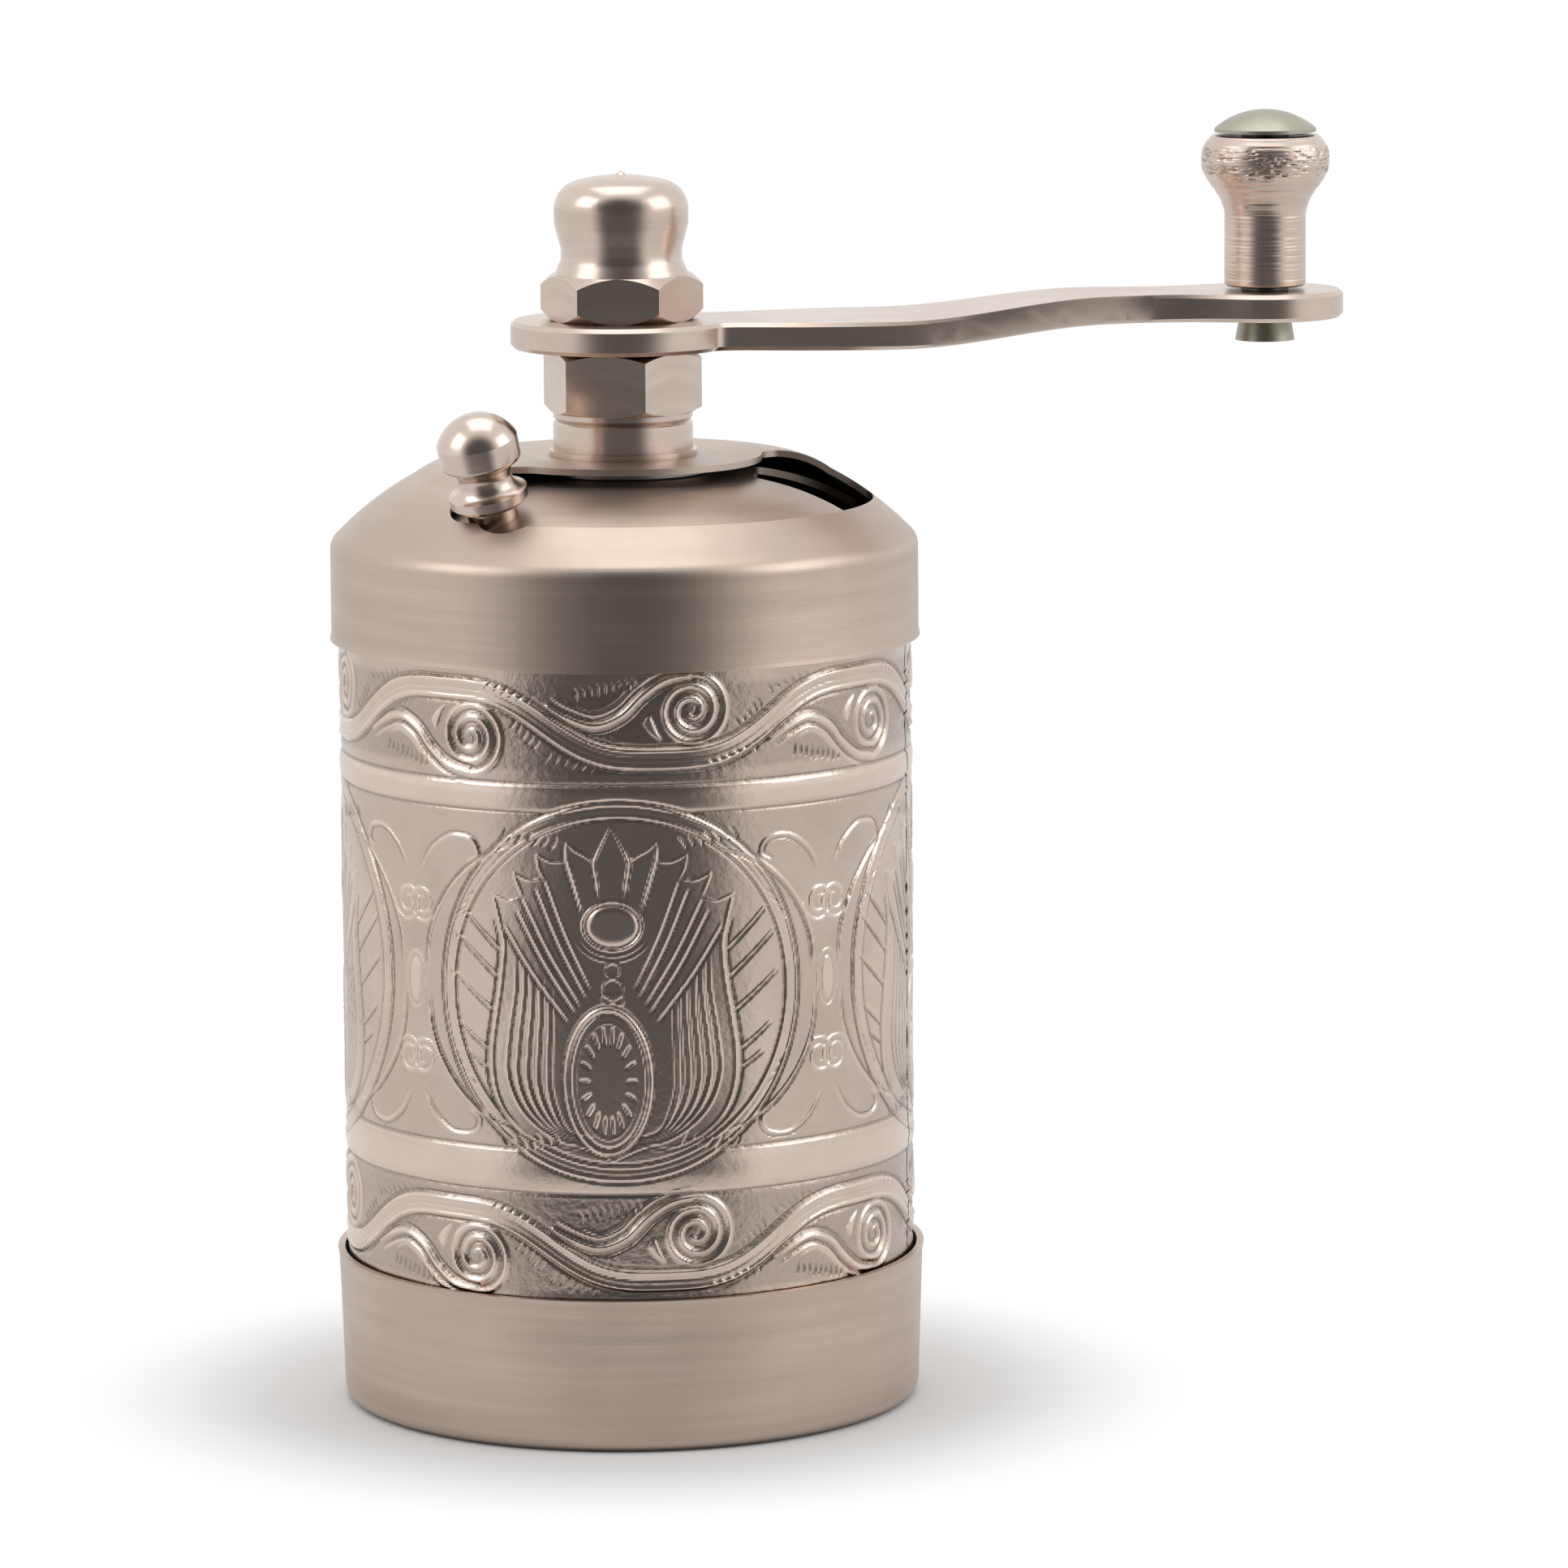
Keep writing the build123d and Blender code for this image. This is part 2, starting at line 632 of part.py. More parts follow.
def crank_arm():
    """Flat steel arm with a square hole at the hub and a pin hole at the end."""
    blank = Pos(0, 0, arm_bottom - 2) * extrude(arm_plan(), arm_thickness + arm_rise + 4)
    strip = extrude(Plane.XZ * arm_side(), 2 * arm_hub_radius, both=True)
    arm = blank & strip
    rims = arm.edges().filter_by(lambda e: abs(e.tangent_at(0.5).Z) < 0.5)
    arm = chamfer(rims, arm_edge)
    arm -= squared(shaft_radius + seat_gap, shaft_square + 2 * seat_gap, arm_bottom - 1, arm_top + 1)
    arm -= Pos(crank_reach, 0, 0) * disc(pin_radius + seat_gap, 0, arm_bottom - 1, knob_seat + 1)
    return crank_turn() * arm


def crank_turn():
    """Turn of the whole crank about the mill's axis."""
    return Rot(0, 0, crank_azimuth - 90)


def acorn_nut():
    """Domed nut: bevelled hexagon, waist, full ball and a slight point, with a blind thread."""
    hex_top = arm_top + acorn_hex_height
    top = arm_top + acorn_height
    crown_z = arm_top + acorn_top_height
    shoulder_z = arm_top + acorn_shoulder_height
    waist_low, waist_high = [arm_top + height for height in acorn_waist_heights]
    centre = (acorn_ball_radius - acorn_shoulder_round, shoulder_z)

    def on_shoulder(angle):
        return (centre[0] + acorn_shoulder_round * cos(radians(angle)),
                centre[1] + acorn_shoulder_round * sin(radians(angle)))

    meet = 90 - acorn_crown_slope
    ball = (acorn_ball_radius, shoulder_z)
    rim = on_shoulder(meet)
    tip = (acorn_point_radius, crown_z)
    half = ((rim[0] + tip[0]) / 2, (rim[1] + tip[1]) / 2)
    swell = (rim[0] - tip[0]) * tan(radians(acorn_crown_slope)) / 8    # level at the tip
    outline = [
        Polyline((0, arm_top), (acorn_foot_radius, arm_top), (acorn_foot_radius, hex_top),
                 (acorn_waist_radius, waist_low), (acorn_waist_radius, waist_high),
                 (acorn_ball_radius, arm_top + acorn_belly_height), ball),
        ThreePointArc(ball, on_shoulder(meet / 2), rim),
        ThreePointArc(rim, (half[0], half[1] + swell), tip),
        Polyline(tip, (0, top), (0, arm_top)),
    ]
    hexagon = hex_prism(acorn_hex, arm_top, hex_top, acorn_hex_azimuth, acorn_hex_bevel)
    return spin(*outline) + hexagon - disc(shaft_thread_radius + seat_gap, 0, arm_top - 1,
                                           arm_top + acorn_bore_depth)


def at_knob(solid):
    """Place a piece drawn on the Z axis over the pin hole of the arm."""
    return crank_turn() * Pos(crank_reach, 0, 0) * solid


def knob_pin():
    """Rivet that carries the knob: domed head above, peened tail below the arm."""
    head_z = grip_top + move_gap
    under = arm_bottom + arm_rise
    tail_z = under - pin_tail_length
    top = head_z + pin_head_height
    rim_z = head_z + pin_head_rim
    outline = [
        Polyline((0, tail_z), (pin_tail_radius, tail_z), (pin_tail_radius - pin_tail_taper, under),
                 (pin_radius, under), (pin_radius, head_z), (pin_head_radius, head_z),
                 (pin_head_radius, rim_z)),
        dome(pin_head_radius, rim_z, top),
        Line((0, top), (0, tail_z)),
    ]
    return at_knob(spin(*outline))


def crank_knob():
    """Turned grip that spins on the rivet: straight stem flaring into a ball."""
    stem_top = grip_bottom + grip_stem_height
    throat = (grip_throat_radius, grip_top - grip_throat_drop)
    belly = (grip_ball_radius, grip_top - grip_ball_drop)
    bulge = (grip_stem_radius + grip_stem_bulge[0],
             stem_top + grip_stem_bulge[1] * (throat[1] - stem_top))
    bore = pin_radius + run_gap
    foot = grip_stem_radius - grip_foot_bevel
    outline = [
        Polyline((bore, grip_top), (bore, grip_bottom), (foot, grip_bottom),
                 (grip_stem_radius, grip_bottom + grip_foot_bevel), (grip_stem_radius, stem_top)),
        ThreePointArc((grip_stem_radius, stem_top), bulge, throat),
        ThreePointArc(throat, belly, (grip_top_radius, grip_top)),
        Line((grip_top_radius, grip_top), (bore, grip_top)),
    ]
    return at_knob(spin(*outline))


# ---------------------------------------------------------------- burrs
def groove(start, end, depth, width, outward=True):
    """Prism of a V groove whose floor runs from start to end, opening out or in."""
    floor = Vector(*end) - Vector(*start)
    middle = (Vector(*end) + Vector(*start)) * 0.5
    radial = Vector(middle.X, middle.Y).normalized()
    opening = radial if outward else radial * -1
    section = Plane(origin=start, x_dir=opening, z_dir=floor)
    reach = depth * groove_overrun
    half = width / 2 * groove_overrun
    tooth = make_face(Polyline((0, 0), (reach, half), (reach, -half), close=True))
    return extrude(section * tooth, floor.length)


def ring_of(cutter, count):
    """The same cutter repeated evenly round the axis."""
    return [Rot(0, 0, 360 / count * i) * cutter for i in range(count)]


def inner_burr():
    """Cone with coarse skewed grooves that break the beans and a band of fine teeth."""
    band_top = cone_base + cone_band_height
    band_r = cone_radius - cone_band_taper
    flank_r = cone_top_radius + cone_hollow * (band_r - cone_top_radius)
    flank_mid = (flank_r, (band_top + cone_top) / 2)
    cone = spin(
        Polyline((0, cone_top), (0, cone_base), (cone_radius, cone_base), (band_r, band_top)),
        ThreePointArc((band_r, band_top), flank_mid, (cone_top_radius, cone_top)),
        Line((cone_top_radius, cone_top), (0, cone_top)))
    fine = groove(polar(band_r - cone_fine_depth * 1.3, -tooth_skew, band_top + 1),
                  polar(cone_radius - cone_fine_depth, 0, cone_base - 0.5),
                  cone_fine_depth, tooth_width(cone_radius, cone_fine_teeth))
    coarse = groove(polar(cone_top_radius - 1.2, -coarse_skew, cone_top + 0.5),
                    polar(band_r - 0.4, 0, band_top - 0.8),
                    cone_coarse_depth, tooth_width(cone_top_radius + 3, cone_coarse_teeth))
    cone -= ring_of(coarse, cone_coarse_teeth)
    cone -= ring_of(fine, cone_fine_teeth)
    cone -= squared(shaft_radius + seat_gap, shaft_square + 2 * seat_gap, cone_base - 1, cone_top + 1)
    return cone - disc(cone_recess_radius, 0, cone_base - 1, cone_base + cone_recess_depth)


def tooth_width(radius, count):
    """Width of a groove that leaves a narrow land between neighbours."""
    return groove_share * 2 * pi * radius / count


def burr_ring():
    """Fixed ring: wide grooved mouth above, narrow fine-toothed outlet below."""
    fine_top = ring_base + ring_fine_height
    ring = spin(Polyline(
        (ring_radius, ring_base), (ring_radius, ring_top), (ring_mouth_radius, ring_top),
        (ring_bore_radius, fine_top), (ring_bore_radius, ring_base), close=True))
    fine = groove(polar(ring_bore_radius + ring_fine_depth, 0, ring_base - 0.5),
                  polar(ring_bore_radius + ring_fine_depth, -tooth_skew, fine_top + 1),
                  ring_fine_depth, tooth_width(ring_bore_radius, ring_fine_teeth), outward=False)
    coarse = groove(polar(ring_bore_radius + ring_coarse_depth, 0, fine_top - 0.6),
                    polar(ring_mouth_radius + ring_coarse_depth * 0.6, coarse_skew / 2, ring_top + 0.5),
                    ring_coarse_depth, tooth_width(ring_bore_radius + 2, ring_coarse_teeth) * 0.6,
                    outward=False)
    ring -= ring_of(coarse, ring_coarse_teeth)
    ring -= ring_of(fine, ring_fine_teeth)
    hole = Pos(*polar(screw_circle(), bridge_arm_azimuth, ring_base)) * Cylinder(
        screw_radius + seat_gap, 2 * (screw_length - bridge_thickness + screw_hole_spare))
    return ring - ring_of(hole, bridge_arms)


def burr_nut():
    """Nut in the cone's recess that holds the cone on the shaft."""
    top = cone_base + cone_recess_depth
    nut = hex_prism(cone_nut_hex, top - cone_nut_height, top)
    return nut - disc(shaft_tip_radius + seat_gap, 0, top - cone_nut_height - 1, top + 1)


# ---------------------------------------------------------------- lower bridge and adjuster
def screw_circle():
    """Radius of the circle of bridge screws: the middle of the bridge's ring."""
    return bridge_ring_radius - bridge_ring_width / 2


def lower_bridge():
    """Spider under the toothed ring that carries the grind adjuster in its boss."""
    boss_bottom = bridge_bottom - bridge_boss_drop
    rim = disc(bridge_ring_radius, bridge_ring_radius - bridge_ring_width, bridge_bottom, ring_base)
    spoke = Pos(screw_circle() / 2, 0, bridge_bottom + bridge_thickness / 2)
    arm = Rot(0, 0, bridge_arm_azimuth - 90) * spoke * Box(screw_circle(), bridge_arm_width, bridge_thickness)
    bridge = rim + ring_of(arm, bridge_arms) + disc(bridge_boss_radius, 0, boss_bottom, ring_base)
    hole = Pos(*polar(screw_circle(), bridge_arm_azimuth, ring_base)) * Cylinder(
        screw_radius + seat_gap, 3 * bridge_thickness)
    bridge -= ring_of(hole, bridge_arms)
    return bridge - disc(adjuster_radius + run_gap, 0, boss_bottom - 1, ring_base + 1)


def bridge_screws():
    """Slotted screws that hold the bridge to the toothed ring."""
    head_bottom = bridge_bottom - screw_head_height
    screw = disc(screw_head_radius, 0, head_bottom, bridge_bottom)
    screw += disc(screw_radius, 0, bridge_bottom, bridge_bottom + screw_length)
    screw -= Pos(0, 0, head_bottom) * Box(3 * screw_head_radius, screw_slot_width, 2 * screw_slot_depth)
    place = Pos(*polar(screw_circle(), bridge_arm_azimuth))
    return Compound(children=ring_of(place * screw, bridge_arms))


def adjusting_screw():
    """Thumb screw that sets the cone's height against the ring."""
    wheel_top = adjuster_wheel_base + adjuster_wheel_height
    wheel = disc(adjuster_wheel_radius, 0, adjuster_wheel_base, wheel_top)
    scallop = Pos(adjuster_wheel_radius + adjuster_scallop_set, 0, adjuster_wheel_base) * Cylinder(
        adjuster_scallop_radius, 4 * adjuster_wheel_height)
    wheel -= ring_of(scallop, adjuster_scallops)
    return wheel + disc(adjuster_radius, 0, wheel_top, shaft_bottom - thrust_gap)


def adjuster_lock_nut():
    """Nut that locks the adjuster against the bridge's boss."""
    top = bridge_bottom - bridge_boss_drop - move_gap
    nut = hex_prism(adjuster_nut_hex, top - adjuster_nut_height, top)
    return nut - disc(adjuster_radius + seat_gap, 0, top - adjuster_nut_height - 1, top + 1)


# ---------------------------------------------------------------- write one file for each piece
pieces = [
    grounds_cup, barrel, embossed_sleeve, top_cap, bearing_bush, bush_washer, bush_lock_nut,
    shutter_hub, shutter_washer, shutter_plate, shutter_pull, shaft, stop_collar, collar_pin,
    crank_arm, acorn_nut, knob_pin, crank_knob, inner_burr, burr_nut, burr_ring, lower_bridge,
    bridge_screws, adjusting_screw, adjuster_lock_nut,
]

os.makedirs("parts", exist_ok=True)
for make in pieces:
    export_step(make(), f"parts/{make.__name__}.step")
    print(make.__name__)
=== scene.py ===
import math

import bpy
import numpy as np
from bpy.props import FloatProperty, FloatVectorProperty, IntProperty, PointerProperty
from mathutils import Matrix, Vector


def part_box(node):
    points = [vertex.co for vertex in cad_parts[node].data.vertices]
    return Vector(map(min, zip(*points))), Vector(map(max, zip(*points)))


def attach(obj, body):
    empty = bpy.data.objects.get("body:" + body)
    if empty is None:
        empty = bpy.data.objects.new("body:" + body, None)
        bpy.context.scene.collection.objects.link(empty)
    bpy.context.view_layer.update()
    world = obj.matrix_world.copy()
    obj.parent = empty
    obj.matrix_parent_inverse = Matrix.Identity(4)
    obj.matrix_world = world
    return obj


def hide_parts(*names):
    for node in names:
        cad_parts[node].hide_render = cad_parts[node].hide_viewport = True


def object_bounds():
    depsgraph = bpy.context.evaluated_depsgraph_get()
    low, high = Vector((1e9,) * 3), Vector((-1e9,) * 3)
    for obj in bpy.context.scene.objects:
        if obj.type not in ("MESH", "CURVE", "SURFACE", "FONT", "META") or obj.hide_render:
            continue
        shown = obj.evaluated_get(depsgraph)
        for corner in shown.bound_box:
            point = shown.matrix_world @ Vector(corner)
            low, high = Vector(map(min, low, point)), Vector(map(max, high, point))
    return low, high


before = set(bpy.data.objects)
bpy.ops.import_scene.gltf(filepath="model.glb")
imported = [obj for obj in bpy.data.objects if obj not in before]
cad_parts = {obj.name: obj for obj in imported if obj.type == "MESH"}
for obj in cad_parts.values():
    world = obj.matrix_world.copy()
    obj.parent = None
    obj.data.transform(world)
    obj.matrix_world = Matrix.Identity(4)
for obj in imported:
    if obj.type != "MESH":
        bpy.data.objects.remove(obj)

bl_info = {
    "name": "Cylinder hand mill",
    "version": (1, 0, 0),
    "blender": (4, 5, 0),
    "location": "View3D > Sidebar > Mill",
    "description": "Builds the looks of a nickel-plated cylinder mill round its packed solids",
    "category": "Object",
}

MM = 0.001
CAD_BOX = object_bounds()


# ------------------------ sizes and colours a user may change
def length(name, text, size):
    """A length in metres with its default given in millimetres."""
    return FloatProperty(name=name, description=text, default=size * MM, unit="LENGTH", precision=6)


def colour(name, text, value):
    """A colour with its default as linear red, green and blue."""
    return FloatVectorProperty(name=name, description=text, default=value, subtype="COLOR", size=3,
                               min=0.0, max=1.0)


def angle(name, text, degrees):
    """An angle with its default given in degrees."""
    return FloatProperty(name=name, description=text, default=math.radians(degrees), subtype="ANGLE")


def factor(name, text, value, top=1.0):
    """A share or strength without a unit."""
    return FloatProperty(name=name, description=text, default=value, min=0.0, max=top)


class MillEmbossing(bpy.types.PropertyGroup):
    """Sizes of the ornament rolled into the sleeve's sheet."""
    ridge: length("Ridge height", "How far the ornament stands out of the sheet", 0.17)
    groove: length("Groove depth", "How deep the engraved lines are", 0.17)
    ground: length("Ground depth", "How far the ground lies below the plain sheet", 0.05)
    vine_rise: length("Vine rise", "Height of the vine's wave above its middle line", 2.75)
    vine_width: length("Vine half width", "Half the width of the vine", 0.82)
    scroll_radius: length("Scroll radius", "Outer radius of the scrolls beside the vine", 3.15)
    scroll_pitch: length("Scroll pitch", "Distance between the turns of a scroll", 1.05)
    scroll_turns: factor("Scroll turns", "Number of turns in a scroll", 2.6, 6.0)
    medallion_radius: length("Medallion radius", "Outer radius of the round frame", 15.8)
    bead_count: IntProperty(name="Beads", description="Small rays inside the oval", default=18, min=3)
    seam: length("Seam", "Gap where the ends of the sheet meet", 0.3)


class MillTurning(bpy.types.PropertyGroup):
    """Sizes of the tool marks left on the turned crank grip."""
    ring_pitch: length("Ring pitch", "Distance between turned rings", 0.42)
    ring_depth: length("Ring depth", "Depth of a turned ring", 0.035)
    pit_size: length("Pit size", "Width of the pits round the ball", 0.34)
    pit_depth: length("Pit depth", "Depth of the pits round the ball", 0.2)
    seed: IntProperty(name="Seed", description="Changes which rings are deep", default=4)


class MillFinish(bpy.types.PropertyGroup):
    """Colours of the metals."""
    nickel: colour("Nickel", "Bright nickel plating", (0.68, 0.56, 0.485))
    satin: colour("Satin nickel", "Brushed plating of the cap and the cup", (0.58, 0.475, 0.405))
    # Painted shade: this dark colour is mixed into the metals' corners where ambient occlusion finds them.
    corner_shade: colour("Corner shade", "Tone in the recesses", (0.10, 0.075, 0.055))
    aged: colour("Aged nickel", "Greenish plating on the rivet", (0.42, 0.41, 0.33))
    steel: colour("Steel", "Bare inner steel", (0.50, 0.48, 0.46))
    iron: colour("Burr iron", "Dark cast iron of the burrs", (0.20, 0.19, 0.18))


class MillStage(bpy.types.PropertyGroup):
    """Floor, light and camera."""
    floor: colour("Floor", "Pale floor", (0.88, 0.88, 0.88))
    camera_distance: length("Camera distance", "From the aim point to the camera", 700.0)
    camera_height: angle("Camera elevation", "Angle above the horizon", 8.7)
    camera_roll: angle("Camera roll", "Turn about the view's own axis", -0.4)
    lens: FloatProperty(name="Lens", description="Focal length in millimetres", default=187.3, min=10.0)
    softbox: factor("Softbox brightness", "Brightness of the side lamps' faces", 1.35, 10.0)


# ------------------------ helpers for node trees
def wire(tree, kind, options, inputs):
    """Add a node, set its options, and fill or join its inputs."""
    made = tree.nodes.new(kind)
    for key, value in options.items():
        setattr(made, key, value)
    for key, value in inputs.items():
        if isinstance(value, bpy.types.NodeSocket):
            tree.links.new(value, made.inputs[key])
        else:
            made.inputs[key].default_value = value
    return made


def maths(tree, operation, *values):
    """A Math node's output from one to three sockets or numbers."""
    return wire(tree, "ShaderNodeMath", {"operation": operation}, dict(enumerate(values))).outputs[0]


def times(tree, first, second):
    """Product of two sockets or numbers."""
    return maths(tree, "MULTIPLY", first, second)


def ramp(tree, value, low, high, to_low=0.0, to_high=1.0):
    """Smooth step of a value between two limits."""
    made = wire(tree, "ShaderNodeMapRange", {"interpolation_type": "SMOOTHSTEP"},
                {0: value, 1: low, 2: high, 3: to_low, 4: to_high})
    return made.outputs[0]


def mix_colour(tree, share, first, second):
    """Mix of two colours."""
    return wire(tree, "ShaderNodeMix", {"data_type": "RGBA"}, {0: share, 6: first, 7: second}).outputs[2]


SOCKETS = {"value": "NodeSocketFloat", "vector": "NodeSocketVector", "geometry": "NodeSocketGeometry",
           "material": "NodeSocketMaterial"}


def new_group(name, inputs, outputs, kind="ShaderNodeTree"):
    """Empty node group with named sockets, and its inputs' and outputs' sockets inside the group."""
    tree = bpy.data.node_groups.new(name, kind)
    for label, form, *default in inputs:
        socket = tree.interface.new_socket(label, in_out="INPUT", socket_type=SOCKETS[form])
        if default:
            socket.default_value = default[0]
    for label, form in outputs:
        tree.interface.new_socket(label, in_out="OUTPUT", socket_type=SOCKETS[form])
    return tree, tree.nodes.new("NodeGroupInput").outputs, tree.nodes.new("NodeGroupOutput").inputs


def place(tree, group, inputs):
    """Put a node group in a material and fill its inputs by name."""
    return wire(tree, "ShaderNodeGroup", {"node_tree": bpy.data.node_groups[group]}, inputs).outputs


def axes_and_radius(tree, spot):
    """The three axes of a place, and its distance from the upright axis."""
    axes = wire(tree, "ShaderNodeSeparateXYZ", {}, {0: spot}).outputs
    flat = wire(tree, "ShaderNodeCombineXYZ", {}, {0: axes[0], 1: axes[1]}).outputs[0]
    return axes, wire(tree, "ShaderNodeVectorMath", {"operation": "LENGTH"}, {0: flat}).outputs["Value"]


def tint(tone, share):
    """A tone made lighter or darker, as an opaque colour."""
    return tuple(min(1.0, c * share) for c in tone) + (1.0,)


def new_material(name):
    """Empty material with its tree, its shader and the object's own coordinates."""
    made = bpy.data.materials.new(name)
    made.use_nodes = True
    tree = made.node_tree
    return made, tree, tree.nodes["Principled BSDF"], tree.nodes.new("ShaderNodeTexCoord").outputs["Object"]


def join_metal(tree, shader, shade, rough, height, depth):
    """Join a metal's colour, roughness and bump to its shader."""
    bump = wire(tree, "ShaderNodeBump", {}, {"Height": height, "Distance": depth, "Strength": 1.0})
    for name, value in (("Base Color", shade), ("Roughness", rough), ("Normal", bump.outputs[0])):
        tree.links.new(value, shader.inputs[name])
    shader.inputs["Metallic"].default_value = 1.0


# ------------------------ shared surface effects
def turned_grain_group():
    """Fine rings round the turning axis, on walls and on faces alike."""
    tree, given, out = new_group(
        "Turned grain", [("Place", "vector"), ("Pitch", "value", 0.0002), ("Sweep", "value", 60.0)],
        [("Rings", "value"), ("Bands", "value")])
    axes, radius = axes_and_radius(tree, given["Place"])
    along = maths(tree, "DIVIDE", maths(tree, "ADD", axes[2], radius), given["Pitch"])
    sweep_x = times(tree, axes[0], given["Sweep"])
    sweep_y = times(tree, axes[1], given["Sweep"])
    for label, share in (("Rings", 1.0), ("Bands", 0.11)):
        spot = wire(tree, "ShaderNodeCombineXYZ", {},
                    {0: sweep_x, 1: sweep_y, 2: times(tree, along, share)}).outputs[0]
        noise = wire(tree, "ShaderNodeTexNoise", {}, {"Vector": spot, "Scale": 1.0, "Detail": 2.0})
        tree.links.new(noise.outputs["Fac"], out[label])


def cloud_group():
    """Soft patches such as smudges and uneven plating, and a fine grain."""
    tree, given, out = new_group(
        "Handling marks", [("Place", "vector"), ("Size", "value", 0.01)],
        [("Patches", "value"), ("Grain", "value")])
    scale = maths(tree, "DIVIDE", 1.0, given["Size"])
    soft = wire(tree, "ShaderNodeTexNoise", {},
                {"Vector": given["Place"], "Scale": scale, "Detail": 4.0, "Roughness": 0.6})
    fine = wire(tree, "ShaderNodeTexNoise", {},
                {"Vector": given["Place"], "Scale": times(tree, scale, 24.0), "Detail": 2.0})
    tree.links.new(ramp(tree, soft.outputs["Fac"], 0.35, 0.68), out["Patches"])
    tree.links.new(fine.outputs["Fac"], out["Grain"])


def wear_and_shade_group():
    """Edges that are rubbed bright, and corners found by ambient occlusion that get painted shade."""
    tree, given, out = new_group(
        "Edges and corners", [("Edge Width", "value", 0.0002), ("Corner Depth", "value", 0.0008)],
        [("Edges", "value"), ("Corners", "value")])
    rounded = wire(tree, "ShaderNodeBevel", {"samples": 4}, {"Radius": given["Edge Width"]})
    normal = tree.nodes.new("ShaderNodeNewGeometry").outputs["Normal"]
    dot = wire(tree, "ShaderNodeVectorMath", {"operation": "DOT_PRODUCT"},
               {0: rounded.outputs[0], 1: normal}).outputs["Value"]
    tree.links.new(ramp(tree, dot, 0.999, 0.90), out["Edges"])
    # Painted shade: this ambient occlusion mask marks the corners that are darkened in the colour.
    hollow = wire(tree, "ShaderNodeAmbientOcclusion", {"samples": 6},
                  {"Distance": given["Corner Depth"]}).outputs["AO"]
    tree.links.new(ramp(tree, hollow, 0.85, 0.25), out["Corners"])


def metal(name, tone, settings):
    """Plated or bare metal: turned or drawn grain, patches, rubbed edges and painted shade in the corners."""
    given = {
        "roughness": 0.25, "pitch": 0.00012, "sweep": 60.0, "grain": 0.000004, "bands": 0.10,
        "patch": 0.009, "patch_rough": 0.07, "centre": (0, 0, 0), "turn": (0, 0, 0),
        # The last entry below is how strongly corners are darkened with painted shade.
        "stretch": (1, 1, 1), "edge": 0.00018, "corner": 0.0007, "corner_shade": 0.55,
    }
    given.update(settings)
    made, tree, shader, spot = new_material(name)
    here = wire(tree, "ShaderNodeMapping", {"vector_type": "TEXTURE"},
                {"Vector": spot, "Location": given["centre"], "Rotation": given["turn"],
                 "Scale": given["stretch"]}).outputs[0]
    grain = place(tree, "Turned grain", {"Place": here, "Pitch": given["pitch"], "Sweep": given["sweep"]})
    marks = place(tree, "Handling marks", {"Place": spot, "Size": given["patch"]})
    rubbed_and_shaded = place(tree, "Edges and corners", {"Edge Width": given["edge"], "Corner Depth": given["corner"]})
    light, corner_shade = tint(tone, 1.12), tint(bpy.context.scene.mill_finish.corner_shade, 1.0)
    smudges = times(tree, marks["Patches"], given["bands"] * 3)
    shade = mix_colour(tree, grain["Bands"], tint(tone, 0.80), light)
    shade = mix_colour(tree, smudges, shade, tint(tone, 0.86))
    shade = mix_colour(tree, times(tree, rubbed_and_shaded["Edges"], 0.5), shade, light)
    # Painted shade: corners found by ambient occlusion are darkened toward a dark colour.
    shade = mix_colour(tree, times(tree, rubbed_and_shaded["Corners"], given["corner_shade"]), shade, corner_shade)
    rough = maths(tree, "MULTIPLY_ADD", marks["Patches"], given["patch_rough"], given["roughness"])
    rough = maths(tree, "MULTIPLY_ADD", grain["Rings"], 0.06, rough)
    height = maths(tree, "MULTIPLY_ADD", marks["Grain"], 0.35, grain["Rings"])
    join_metal(tree, shader, shade, rough, height, given["grain"])
    return made


def embossed_nickel():
    """Bright plating over the embossed sheet: rubbed ridges, and a rougher ground darkened with painted shade.
    """
    tone = bpy.context.scene.mill_finish.nickel
    made, tree, shader, spot = new_material("embossed_nickel")
    relief = wire(tree, "ShaderNodeAttribute", {"attribute_name": "relief"}, {}).outputs["Fac"]
    marks = place(tree, "Handling marks", {"Place": spot, "Size": 0.008})
    ground = ramp(tree, relief, 0.35, -0.65)
    top = ramp(tree, relief, 0.25, 0.85)
    plain = mix_colour(tree, marks["Patches"], tint(tone, 1.0), tint(tone, 0.88))
    # Painted shade: the sunk ground and the engraved lines are darkened toward a much darker tone.
    recess_shade = mix_colour(tree, marks["Grain"], tint(tone, 0.45), tint(tone, 0.72))
    plain = mix_colour(tree, ground, plain, recess_shade)
    worn_and_shaded = mix_colour(tree, times(tree, top, 0.5), plain, tint(tone, 1.15))
    rough = maths(tree, "MULTIPLY_ADD", ground, 0.10, 0.15)
    rough = maths(tree, "MULTIPLY_ADD", marks["Patches"], 0.06, rough)
    dents = wire(tree, "ShaderNodeTexNoise", {}, {"Vector": spot, "Scale": 1500.0, "Detail": 3.0})
    hammered = maths(tree, "MULTIPLY_ADD", ground, 1.2, 0.5)
    height = times(tree, dents.outputs["Fac"], hammered)
    join_metal(tree, shader, worn_and_shaded, rough, height, 0.00005)
    return made


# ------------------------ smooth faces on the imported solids
def paint(tree, geometry, material, out):
    """End a geometry tree with real geometry in its material."""
    real = wire(tree, "GeometryNodeRealizeInstances", {}, {"Geometry": geometry})
    painted = wire(tree, "GeometryNodeSetMaterial", {}, {"Geometry": real.outputs[0], "Material": material})
    tree.links.new(painted.outputs[0], out)


